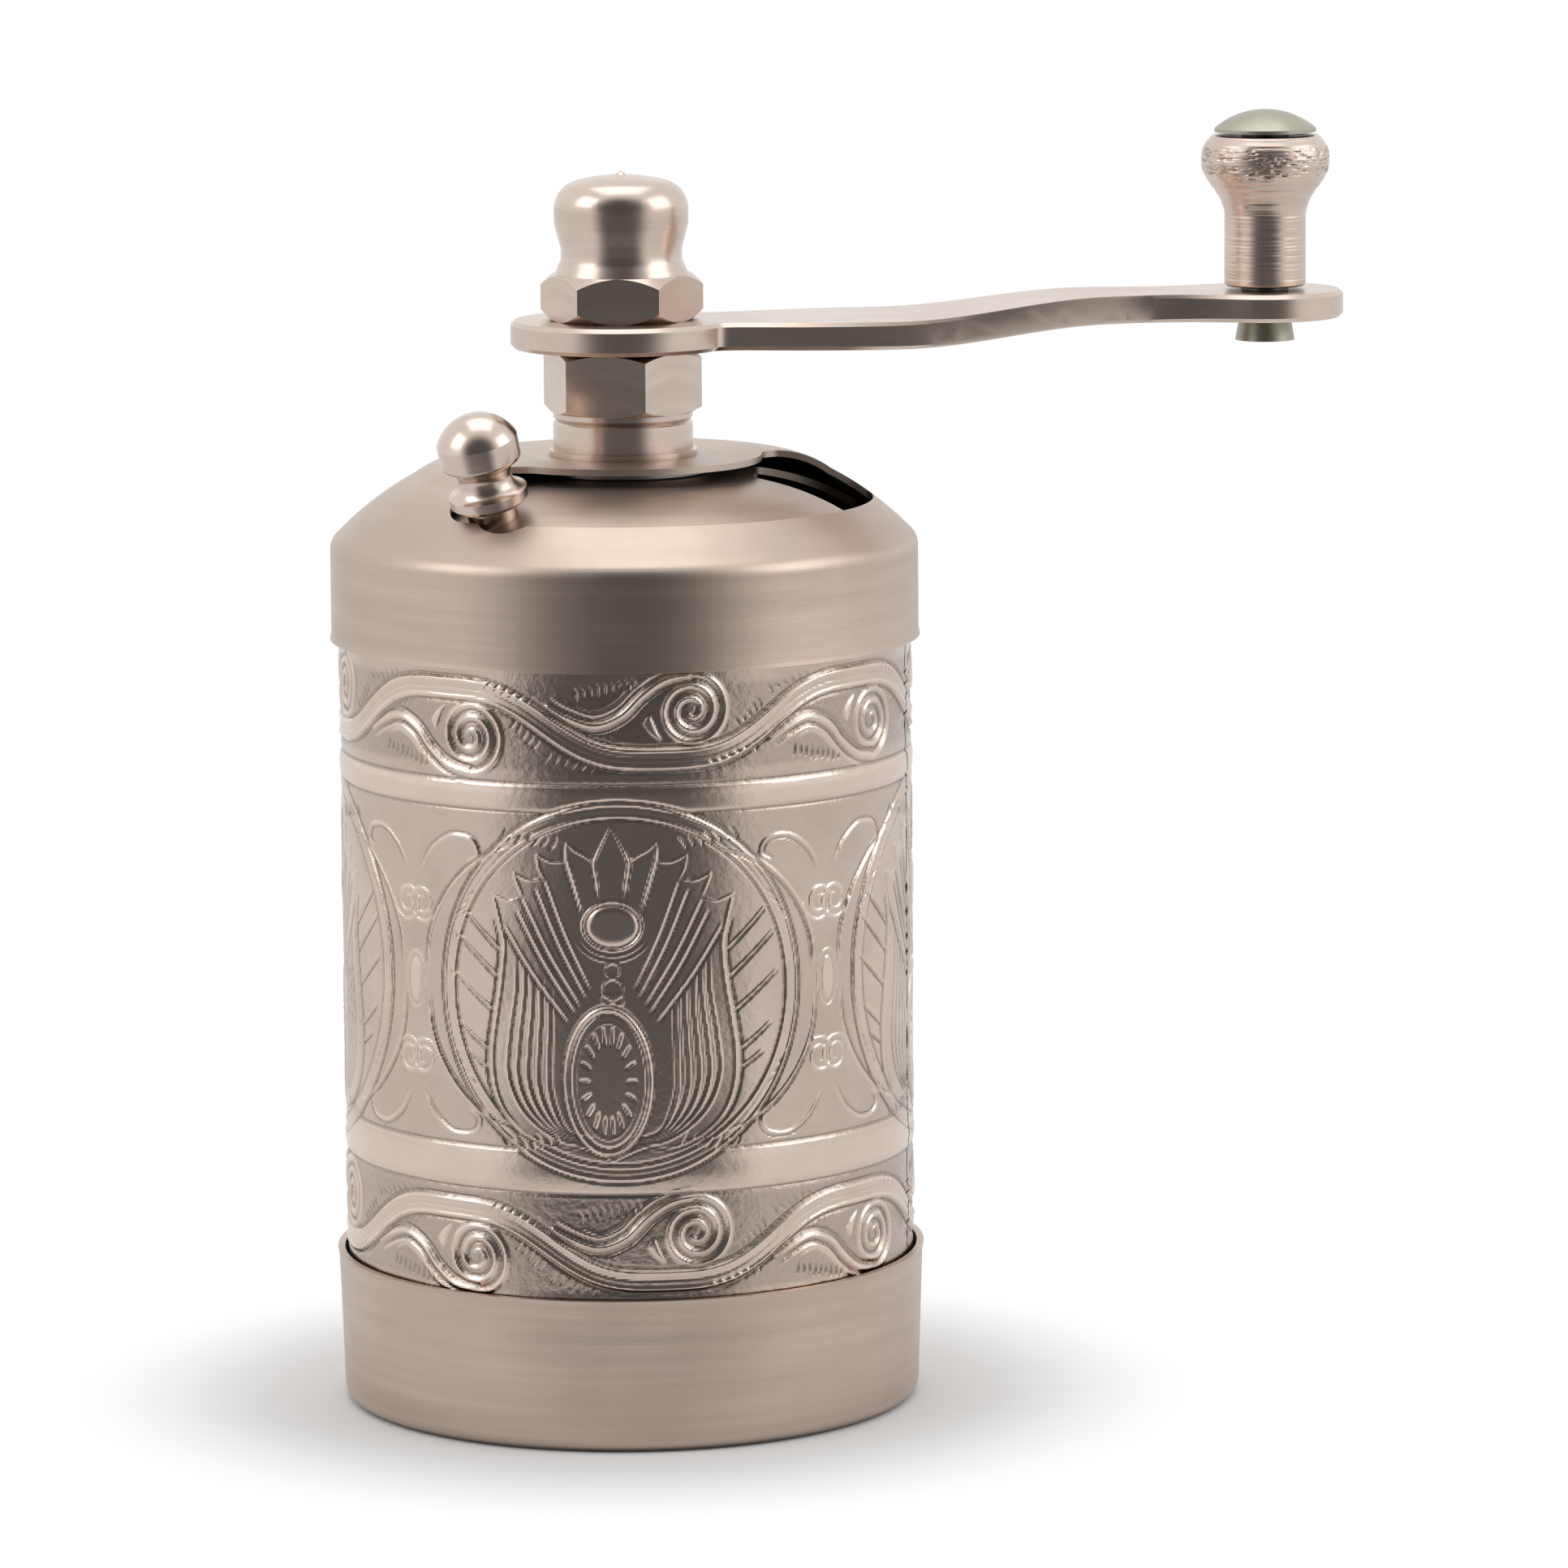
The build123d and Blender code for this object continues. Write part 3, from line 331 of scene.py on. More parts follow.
def smooth_tree():
    """Joins loose triangles for shading and keeps the edges that are sharper than an angle."""
    tree, given, out = new_group(
        "Smooth turned faces", [("Geometry", "geometry"), ("Edge Angle", "value"), ("Material", "material")],
        [("Geometry", "geometry")], "GeometryNodeTree")
    joined = wire(tree, "GeometryNodeMergeByDistance", {}, {"Geometry": given["Geometry"], "Distance": 1e-7})
    angle = tree.nodes.new("GeometryNodeInputMeshEdgeAngle").outputs[0]
    soft = wire(tree, "FunctionNodeCompare", {"operation": "LESS_THAN"}, {0: angle, 1: given["Edge Angle"]})
    faces = wire(tree, "GeometryNodeSetShadeSmooth", {"domain": "FACE"}, {"Geometry": joined.outputs[0]})
    edges = wire(tree, "GeometryNodeSetShadeSmooth", {"domain": "EDGE"},
                 {"Geometry": faces.outputs[0], "Shade Smooth": soft.outputs[0]})
    paint(tree, edges.outputs[0], given["Material"], out["Geometry"])
    return tree


def socket_id(tree, name):
    """Identifier of a group's input, by its name."""
    return next(item.identifier for item in tree.interface.items_tree
                if item.in_out == "INPUT" and item.name == name)


def dress(nodes, material, angle=25.0):
    """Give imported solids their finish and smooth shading."""
    tree = bpy.data.node_groups.get("Smooth turned faces") or smooth_tree()
    for name in nodes:
        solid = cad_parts[name]
        for slot in solid.material_slots:
            slot.material = material
        smooth = solid.modifiers.new("Smooth turned faces", "NODES")
        smooth.node_group = tree
        smooth[socket_id(tree, "Edge Angle")] = math.radians(angle)
        smooth[socket_id(tree, "Material")] = material


def finish_piece(piece, body, slot, *nodes):
    """Tie a finished piece to its body and hide the solids it stands for. The slot argument is not used."""
    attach(piece, body)
    if nodes:
        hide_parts(*nodes)


# ------------------------ embossed sleeve
SEAM = math.radians(78.0)            # where the ends of the sheet meet, from the front
MEAN_RADIUS = 24.5 * MM              # where the ornament's lengths round the sleeve are measured
SEAT, SHEET = 0.05 * MM, 0.35 * MM   # gap over the barrel, and the sheet's thickness
# heights above the cup's rim
GROUNDS = (0.1 * MM, 8.9 * MM), (44.3 * MM, 51.9 * MM)
RIBS = (8.9 * MM, 12.6 * MM), (41.1 * MM, 43.5 * MM)
FRIEZES = 48.4 * MM, 4.3 * MM
MEDALLION = 26.075 * MM
RIB_RISE = 0.17 * MM
ROWS, COLUMNS = 342, 250             # grid of a quarter of the sleeve


def beyond(s, z, start, span):
    """Shares along a straight stretch that lie nearest to some places, and their distances from it."""
    along = ((s - start[0]) * span[0] + (z - start[1]) * span[1]) / max(span @ span, 1e-18)
    along = np.clip(along, 0, 1)
    return along, np.hypot(s - start[0] - along * span[0], z - start[1] - along * span[1])


class Relief:
    """Height of one quarter of the sleeve's sheet, drawn stroke by stroke. It repeats round the sleeve.

    Places are (s, z) in metres: s runs round the sheet from the front, z is the height."""

    def __init__(self, low, high, quarter, start, pitch=0.00005):
        self.wide = round(quarter / pitch)
        self.pitch = quarter / self.wide
        self.tall = round((high - low) / self.pitch) + 1
        self.low, self.start = low, start
        self.raised = np.full((self.tall, self.wide), -1.0, np.float32)
        self.cut = np.zeros((self.tall, self.wide), np.float32)
        self.ground = np.zeros((self.tall, self.wide), np.float32)

    def window(self, points, margin):
        """Rows, columns and places of the grid round some points."""
        (s0, z0), (s1, z1) = points.min(0) - margin, points.max(0) + margin
        rows = np.arange(max(0, int((z0 - self.low) / self.pitch)),
                         min(self.tall, int((z1 - self.low) / self.pitch) + 2))
        cols = np.arange(int((s0 - self.start) / self.pitch), int((s1 - self.start) / self.pitch) + 2)
        cols = cols[:self.wide]
        z, s = np.meshgrid(self.low + rows * self.pitch, self.start + cols * self.pitch, indexing="ij")
        return np.ix_(rows, cols % self.wide), s, z

    def stroke(self, points, width, height, ends=(1.0, 1.0), flat=0.0, cut=False):
        """Ridge, or engraved line, along a path. Its half width swells from the ends' shares."""
        points = np.asarray(points, float)
        steps = np.diff(points, axis=0)
        run = np.concatenate([[0], np.cumsum(np.hypot(steps[:, 0], steps[:, 1]))])
        share = run / run[-1]
        swell = np.sin(math.pi * np.clip(share, 0, 1)) ** 0.7
        size = width * (swell + (1 - swell) * (ends[0] + (ends[1] - ends[0]) * share))
        for i in range(len(points) - 1):
            span = points[i + 1] - points[i]
            reach = max(size[i], size[i + 1])
            where, s, z = self.window(points[i:i + 2], reach)
            if not s.size:
                continue
            along, away = beyond(s, z, points[i], span)
            half = np.maximum(size[i] + (size[i + 1] - size[i]) * along, 1e-6)
            edge = np.clip((1 - away / half) / (1 - flat), 0, 1)
            form = edge * edge * (3 - 2 * edge)
            lift = height * form * np.clip(half / (0.6 * width), 0, 1)
            if cut:
                self.cut[where] = np.maximum(self.cut[where], lift)
            else:
                self.raised[where] = np.where(form > 0, np.maximum(self.raised[where], lift), self.raised[where])

    def plate(self, outline, height, edge):
        """Raised pad inside a closed outline, rounded over its edge."""
        points = np.asarray(outline, float)
        where, s, z = self.window(points, 0)
        inside = np.zeros(s.shape, bool)
        away = np.full(s.shape, 1.0)
        for a, b in zip(points, np.roll(points, -1, axis=0)):
            crosses = (a[1] > z) != (b[1] > z)
            level = b[1] - a[1] if abs(b[1] - a[1]) > 1e-12 else 1e-12
            inside ^= crosses & (s < a[0] + (z - a[1]) * (b[0] - a[0]) / level)
            away = np.minimum(away, beyond(s, z, a, b - a)[1])
        form = np.clip(away / edge, 0, 1)
        form = np.sqrt(form * (2 - form))
        self.raised[where] = np.where(inside, np.maximum(self.raised[where], height * form), self.raised[where])

    def heights(self):
        """Finished height field, a little softened as rolled sheet is."""
        field = np.maximum(self.ground, self.raised) - self.cut
        for _ in range(3):
            field = (np.roll(field, 1, 1) + 2 * field + np.roll(field, -1, 1)) / 4
            field[1:-1] = (field[:-2] + 2 * field[1:-1] + field[2:]) / 4
        return field


def curve(points, count=48):
    """Smooth path through some places (Catmull-Rom)."""
    p = np.asarray(points, float)
    p = np.vstack([2 * p[0] - p[1], p, 2 * p[-1] - p[-2]])
    path = []
    parts = len(p) - 3
    for i in range(parts):
        t = np.linspace(0, 1, max(4, count // parts), endpoint=i == parts - 1)[:, None]
        a, b, c, d = p[i:i + 4]
        path.append(0.5 * (2 * b + (c - a) * t + (2 * a - 5 * b + 4 * c - d) * t ** 2
                           + (3 * b - a - 3 * c + d) * t ** 3))
    return np.vstack(path)


def beside(path, offset):
    """Path moved sideways by an offset."""
    way = np.gradient(np.asarray(path, float), axis=0)
    way /= np.linalg.norm(way, axis=1)[:, None]
    return path + offset * np.stack([-way[:, 1], way[:, 0]], axis=1)


def hatch(relief, places, lean, size, width, depth):
    """Row of short engraved lines at some places."""
    for i, (s, z) in enumerate(places):
        tilt = lean + 0.12 * math.sin(5.1 * i)
        reach = size * (0.8 + 0.35 * math.sin(2.3 * i + 1.0) ** 2) / 2
        step = np.array([math.sin(tilt), math.cos(tilt)]) * reach
        spot = np.array([s, z])
        bow = np.array([step[1], -step[0]]) * 0.18
        relief.stroke(curve([spot - step, spot + bow, spot + step], 8), width, depth, ends=(0.3, 0.3), cut=True)


def frieze(relief, make, middle, quarter, crest):
    """Running vine with a scroll, a leaf and hatching in each of its hollows."""
    ridge, groove, half = make.ridge, make.groove, make.vine_width
    s = np.linspace(-0.5, 0.5, 120) * quarter
    turn = 2 * math.pi * s / quarter
    wave = np.stack([crest + s, middle + make.vine_rise * (1.12 * np.cos(turn) - 0.12 * np.cos(3 * turn))], 1)
    relief.stroke(wave, half, ridge * 0.35, flat=0.75)
    for side in (-1, 1):
        relief.stroke(beside(wave, side * half * 0.82), half * 0.30, ridge)
        relief.stroke(beside(wave, side * half * 1.32), half * 0.24, groove, cut=True)
    relief.stroke(beside(wave, 0.1 * half), half * 0.16, groove * 0.45, cut=True)
    for flip, base in ((1, crest), (-1, crest + quarter / 2)):
        def at(points):
            """Places given in millimetres from the wave's crest, mirrored under the troughs."""
            return np.array([(base + x * MM, middle + flip * z * MM) for x, z in points])

        quarter_turn, turns = math.pi / 2, make.scroll_turns
        angle = np.linspace(-quarter_turn, 2 * math.pi * turns - quarter_turn, int(60 * turns))
        reach = make.scroll_radius - make.scroll_pitch * (angle + quarter_turn) / (2 * math.pi)
        reach = np.maximum(reach, 0.12 * MM)
        heart = np.array([base + 2.57 * MM, middle - flip * 1.2 * MM])
        scroll = heart + np.stack([reach * np.cos(angle), flip * reach * np.sin(angle)], 1)
        arm = curve(list(at([(-9.6, -1.6), (-7.9, -0.75), (-5.6, -0.1), (-3.4, -0.9), (-1.6, -2.6),
                             (0.3, -3.85)])) + [scroll[0]], 60)
        relief.stroke(np.vstack([arm[:-1], scroll]), 0.36 * MM, ridge, ends=(0.6, 0.45))
        for path, offset, width, depth, ends in (
                (scroll, 0.42, 0.17, 0.9, (1, 0.4)), (scroll, 0.10, 0.09, 0.5, (1, 0.4)),
                (arm, 0.62, 0.30, 1.1, (0.2, 0.9)), (arm, -0.50, 0.16, 1.0, (0.2, 0.6))):
            relief.stroke(beside(path, flip * offset * MM), width * MM, groove * depth, ends=ends, cut=True)
        relief.stroke(beside(arm, -flip * 0.85 * MM), 0.22 * MM, ridge * 0.7, ends=(0.2, 0.6))
        leaf = curve(at([(-7.0, -1.7), (-5.4, -1.25), (-3.8, -2.0), (-2.4, -3.3), (-0.9, -4.3)]), 24)
        relief.stroke(leaf, 0.22 * MM, ridge * 0.6, ends=(0.2, 0.5))
        # rows of short lines: first place, step, count, lean, length, half width, share of the groove
        for (x, z), (dx, dz), count, lean, size, width, depth in (
                ((-7.2, -2.65), (0.62, -0.13), 9, 0.25, 1.15, 0.13, 1.0),
                ((6.6, 0.1), (0.5, -0.42), 5, 0.6, 0.95, 0.12, 0.9),
                ((-6.3, 1.0), (0.7, 0.05), 4, 0.3, 0.8, 0.11, 0.8),
                ((4.4, 3.3), (0.75, -0.22), 6, 0.7, 1.0, 0.12, 0.9),
                ((-9.6, 2.6), (0.75, 0.2), 6, -0.6, 0.9, 0.12, 0.8)):
            row = at([(x + dx * i, z + dz * i) for i in range(count)])
            hatch(relief, row, lean * flip, size * MM, width * MM, groove * depth)
        bud = curve(at([(-1.6, -0.2), (-0.9, 0.7), (0.0, 1.25), (-0.4, 0.4), (-1.0, -0.9), (-1.6, -0.2)]), 24)
        relief.plate(bud, ridge * 0.7, 0.3 * MM)


def ring(centre, wide, high, count=96, start=0.0, sweep=2 * math.pi):
    """Ellipse or part of one as places round a centre."""
    angle = start + np.linspace(0, sweep, count)
    return np.stack([centre[0] + wide * np.cos(angle), centre[1] + high * np.sin(angle)], 1)


def moved(points, right, up):
    """The same places, moved sideways and up."""
    return [(x + right, z + up) for x, z in points]


def bowed(start, stop, right, up):
    """Three places from a start to a stop, with the middle one moved aside."""
    return [start, ((start[0] + stop[0]) / 2 + right, (start[1] + stop[1]) / 2 + up), stop]


def medallion(relief, make, centre):
    """Round frame with a tulip-like palmette: crown petals, straps, veined leaves and a beaded oval."""
    ridge, groove, outer = make.ridge, make.groove, make.medallion_radius
    inner = outer - 0.95 * MM

    def line(points, side, width, height, ends=(0.4, 0.4), cut=False, count=30):
        """Line through places in millimetres from the middle, on the left or the right half."""
        places = [(centre[0] + (x * side - 0.55) * MM, centre[1] + z * MM) for x, z in points]
        relief.stroke(curve(places, count), width * MM, (groove if cut else ridge) * height, ends=ends, cut=cut)

    def loop(middle, wide, high, count, width, height, cut=False):
        """Line round an ellipse."""
        relief.stroke(ring(middle, wide, high, count), width * MM, (groove if cut else ridge) * height, cut=cut)

    for radius, width, height, cut in (
            (outer, 0.20, 0.95, False), (inner, 0.16, 0.75, False), ((outer + inner) / 2, 0.46, 0.35, False),
            (outer + 0.32 * MM, 0.17, 1.0, True), (inner - 0.28 * MM, 0.14, 0.8, True)):
        loop(centre, radius, radius, 240, width, height, cut)

    crown = [(0.0, 14.0), (1.0, 11.9), (1.35, 10.8), (1.15, 9.4), (0.95, 8.0)]
    petals = (
        (crown, 0.17, 1.0),
        ([(1.35, 10.9), (2.2, 11.5), (3.1, 12.0), (3.75, 12.6)], 0.17, 1.0),
        ([(3.75, 12.6), (3.7, 11.4), (3.25, 9.9), (2.75, 8.2), (2.35, 6.9)], 0.17, 1.0),
        ([(3.9, 11.0), (4.7, 10.9), (5.5, 11.1), (6.3, 11.5)], 0.16, 0.9),
        ([(6.3, 11.5), (6.1, 10.4), (5.6, 9.4)], 0.16, 0.8),
        ([(5.9, 9.5), (6.8, 9.3), (7.6, 9.5), (8.4, 9.9)], 0.16, 0.9),
        ([(8.4, 9.9), (8.0, 8.9), (7.6, 8.0)], 0.16, 0.8),
        ([(7.9, 7.7), (8.8, 7.5), (9.6, 7.7), (10.5, 8.1)], 0.16, 0.8))
    straps = (((5.5, 9.4), (1.7, 0.4)), ((6.3, 8.7), (2.1, -0.3)), ((7.5, 7.8), (2.6, -1.0)),
              ((8.0, 6.8), (3.0, -1.6)), ((9.3, 5.6), (3.6, -2.4)))
    contour = [(10.2, 7.6), (9.75, 5.9), (9.3, 3.8), (9.6, 0.6), (10.1, -2.4), (10.5, -5.4), (10.3, -8.2),
               (9.3, -10.5), (7.3, -12.3), (4.7, -13.3), (2.6, -13.2), (1.0, -13.8), (0.0, -14.3)]
    rays = (((9.5, 3.3), (13.4, 6.9)), ((9.7, 1.0), (14.2, 4.9)), ((10.1, -1.9), (14.5, 1.5)),
            ((10.9, -5.0), (13.8, -2.9)), ((10.8, -6.6), (13.0, -5.3)))
    for side in (-1, 1):
        for places, width, height in petals:
            line(places, side, width, height)
        line(moved(crown[1:], 0.30, 0), side, 0.13, 1.0, cut=True)
        line([(4.05, 12.2), (4.0, 11.0), (3.6, 9.6), (3.1, 8.0), (2.75, 6.8)], side, 0.13, 1.0, cut=True)
        for far, near in straps:
            strap = bowed(far, near, 0.18, -0.12)
            line(strap, side, 0.15, 0.85)
            line(moved(strap, 0.28, -0.2), side, 0.15, 1.1, cut=True)
        line(contour, side, 0.21, 1.0, (0.6, 0.6), count=70)
        line([(x * 1.04 + 0.12, z) for x, z in contour[1:]], side, 0.17, 1.1, (0.4, 0.5), True, 70)
        for share in (0.14, 0.30, 0.46, 0.62, 0.78):
            vein = [(8.9 - 4.4 * share, 3.6 - 4.0 * share), (9.0 - 4.6 * share, 0.4 - 3.2 * share),
                    (9.7 - 5.4 * share, -3.6 - 2.0 * share), (9.9 - 5.6 * share, -7.2 - 1.0 * share),
                    (8.3 - 4.2 * share, -10.4 + 0.3 * share), (5.0 - 1.2 * share, -12.6 + 0.9 * share),
                    (2.0, -13.1 + 0.8 * share)]
            line(vein, side, 0.15, 0.8, (0.2, 0.3), count=50)
            line(moved(vein, -0.30, 0.1), side, 0.13, 0.9, (0.2, 0.3), True, 50)
        for start, stop in rays:
            line(bowed(start, stop, 0, -0.15), side, 0.17, 0.9)
            shadow = [(start[0] + 0.15, start[1] - 0.3), (stop[0] + 0.05, stop[1] - 0.32)]
            line(shadow, side, 0.14, 1.1, cut=True)

    boss = (centre[0] - 0.5 * MM, centre[1] + 5.6 * MM)
    relief.plate(ring(boss, 2.1 * MM, 1.65 * MM, 48), ridge * 1.05, 0.7 * MM)
    loop(boss, 2.5 * MM, 2.05 * MM, 64, 0.16, 0.9)
    loop(boss, 2.25 * MM, 1.82 * MM, 64, 0.13, 1.1, True)
    for wider in (0.5, 0.95):
        under = ring(boss, (2.5 + wider) * MM, (2.05 + wider) * MM, 40, math.radians(200), math.radians(140))
        relief.stroke(under, 0.15 * MM, ridge * 0.75, ends=(0.2, 0.2))
    for x, z, radius in ((-0.5, 0.3, 0.85), (-0.5, 1.9, 0.6), (-0.95, -0.6, 0.45), (0.0, -0.6, 0.45)):
        knot = (centre[0] + x * MM, centre[1] + z * MM)
        loop(knot, radius * MM, radius * MM, 32, 0.15, 0.8)

    oval = (centre[0] - 0.95 * MM, centre[1] - 7.5 * MM)
    relief.plate(ring(oval, 3.55 * MM, 6.1 * MM, 72), ridge * 0.45, 0.5 * MM)
    for wide, high, width, height, cut in (
            (3.55, 6.1, 0.22, 1.0, False), (2.55, 4.95, 0.15, 0.8, False), (3.85, 6.4, 0.15, 1.0, True),
            (3.2, 5.72, 0.13, 0.8, True)):
        loop(oval, wide * MM, high * MM, 120, width, height, cut)
    for i in range(make.bead_count):
        angle = 2 * math.pi * i / make.bead_count
        step = np.array([2.5 * math.cos(angle), 4.9 * math.sin(angle)]) * MM
        ray = [np.array(oval) + step * 0.62, np.array(oval) + step * 0.92]
        relief.stroke(curve(ray, 6), 0.20 * MM, groove * 1.1, ends=(0.3, 0.8), cut=True)


def spandrels(relief, make, centre, quarter):
    """Curled leaves and hatching that fill the corners between two round frames."""
    ridge, groove = make.ridge, make.groove
    bud = np.array([centre[0] + quarter / 2, centre[1]])
    for flip, side in ((-1, -1), (-1, 1), (1, -1), (1, 1)):
        def at(points):
            """Places in millimetres from the middle between two frames, mirrored to each corner."""
            return np.array([(bud[0] + side * x * MM, bud[1] + flip * z * MM) for x, z in points])

        stem = curve(at([(1.5, 1.2), (1.9, 4.2), (3.4, 7.2), (5.6, 9.6), (8.0, 11.2), (10.4, 12.0)]), 50)
        relief.stroke(stem, 0.20 * MM, ridge * 0.9, ends=(0.4, 0.3))
        relief.stroke(beside(stem, 0.34 * MM), 0.15 * MM, groove, ends=(0.3, 0.2), cut=True)
        lobe = curve(at([(0.9, 9.6), (2.2, 11.4), (4.2, 12.6), (6.3, 12.4), (6.9, 11.2), (5.9, 10.5)]), 40)
        relief.stroke(lobe, 0.20 * MM, ridge * 0.9, ends=(0.3, 0.5))
        relief.stroke(beside(lobe, 0.32 * MM), 0.13 * MM, groove * 0.9, ends=(0.3, 0.4), cut=True)
        curl = np.linspace(0, 3.6 * math.pi, 70)
        reach = (1.75 - 0.115 * curl) * MM
        snail = at([(0.9, 6.6)])[0] + np.stack([side * reach * np.cos(curl), -flip * reach * np.sin(curl)], 1)
        relief.stroke(snail, 0.22 * MM, ridge * 0.85, ends=(0.5, 0.4))
        hatch(relief, at([(9.3 + 0.75 * i, 13.1 - 0.10 * i) for i in range(7)]), 0.55 * side * flip,
              1.25 * MM, 0.13 * MM, groove)
        hatch(relief, at([(4.6 + 0.55 * i, 5.7 + 0.75 * i) for i in range(4)]), 0.9 * side * flip,
              0.8 * MM, 0.12 * MM, groove * 0.8)
    relief.plate(ring(bud, 0.75 * MM, 1.9 * MM, 40), ridge * 0.8, 0.5 * MM)
    relief.stroke(ring(bud, 1.15 * MM, 2.4 * MM, 48), 0.15 * MM, ridge * 0.7)


def sleeve_relief(make, low, high, quarter, start):
    """Whole ornament of one quarter of the sleeve between the cup and the cap."""
    relief = Relief(low, high, quarter, start)
    z = relief.low + np.arange(relief.tall)[:, None] * relief.pitch
    everywhere = np.ones(relief.wide)
    for bottom, top in GROUNDS:
        inside = np.clip(np.minimum(z - low - bottom, low + top - z) / (0.5 * MM), 0, 1)
        relief.ground -= make.ground * inside * everywhere
    for bottom, top in RIBS:
        share = (z - low - bottom) / (top - bottom)
        band = np.where((share > 0) & (share < 1), np.sin(math.pi * np.clip(share, 0, 1)) ** 0.8, 0)
        relief.ground += RIB_RISE * band * everywhere
        for edge in (bottom, top):
            line = np.exp(-((z - low - edge) / (0.13 * MM)) ** 2)
            relief.cut = np.maximum(relief.cut, (make.groove * line * everywhere).astype(np.float32))
    centre = (math.radians(-0.8) * MEAN_RADIUS, low + MEDALLION)
    s = relief.start + np.arange(relief.wide)[None, :] * relief.pitch
    away = np.hypot((s - centre[0] + quarter / 2) % quarter - quarter / 2, z - centre[1])
    field = np.clip((make.medallion_radius + 0.2 * MM - away) / (0.4 * MM), 0, 1)
    relief.ground = (relief.ground * (1 - field) + 0.02 * MM * field).astype(np.float32)
    relief.cut *= (1 - field).astype(np.float32)
    for height in FRIEZES:
        frieze(relief, make, low + height, quarter, math.radians(-37.0) * MEAN_RADIUS)
    medallion(relief, make, centre)
    spandrels(relief, make, centre, quarter)
    fade = np.clip(np.minimum(z - low, high - z) / (0.35 * MM), 0, 1)
    return relief.heights() * fade, relief


def sample(field, relief, s, z):
    """Bilinear reading of a field that repeats round the sleeve."""
    x = (s - relief.start) / relief.pitch
    y = np.clip((z - relief.low) / relief.pitch, 0, relief.tall - 1.001)
    x0, y0 = np.floor(x).astype(int), np.floor(y).astype(int)
    fx, fy = x - x0, y - y0
    x1, x0 = (x0 + 1) % relief.wide, x0 % relief.wide
    top = field[y0 + 1, x0] * (1 - fx) + field[y0 + 1, x1] * fx
    low = field[y0, x0] * (1 - fx) + field[y0, x1] * fx
    return low * (1 - fy) + top * fy


class MILL_OT_sleeve(bpy.types.Operator):
    """Embossed sleeve: four quarters of one rolled sheet, with its seam down one side"""
    bl_idname = "mill.sleeve"
    bl_label = "Embossed sleeve"

    def execute(self, context):
        make = context.scene.mill_embossing
        low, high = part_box("embossed_sleeve")
        show_low, show_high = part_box("grounds_cup")[1].z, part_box("top_cap")[0].z
        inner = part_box("barrel")[1].x + SEAT
        plain = inner + SHEET
        quarter = math.pi / 2
        field, relief = sleeve_relief(make, show_low, show_high, MEAN_RADIUS * quarter,
                                      MEAN_RADIUS * (SEAM - quarter))
        slope_z = np.gradient(field, relief.pitch, axis=0)
        slope_s = (np.roll(field, -1, 1) - np.roll(field, 1, 1)) / (2 * relief.pitch)
        rows = np.concatenate([[low.z, (low.z + show_low) / 2], np.linspace(show_low, show_high, ROWS),
                               [(high.z + show_high) / 2, high.z]])
        material = embossed_nickel()
        gap = make.seam / 2 / plain
        for k in range(4):
            start = SEAM + (k - 1) * quarter
            first = start + (gap if k == 1 else 0)
            last = start + quarter - (gap if k == 0 else 0)
            turn = np.linspace(first, last, COLUMNS)
            name = "embossed_sleeve_quarter_%d" % (k + 1)
            piece = sleeve_quarter(name, rows, turn, (inner, plain), (field, slope_s, slope_z), relief)
            piece.data.materials.append(material)
            context.scene.collection.objects.link(piece)
            finish_piece(piece, "mill", "embossed_nickel", *(("embossed_sleeve",) if k == 0 else ()))
        return {"FINISHED"}


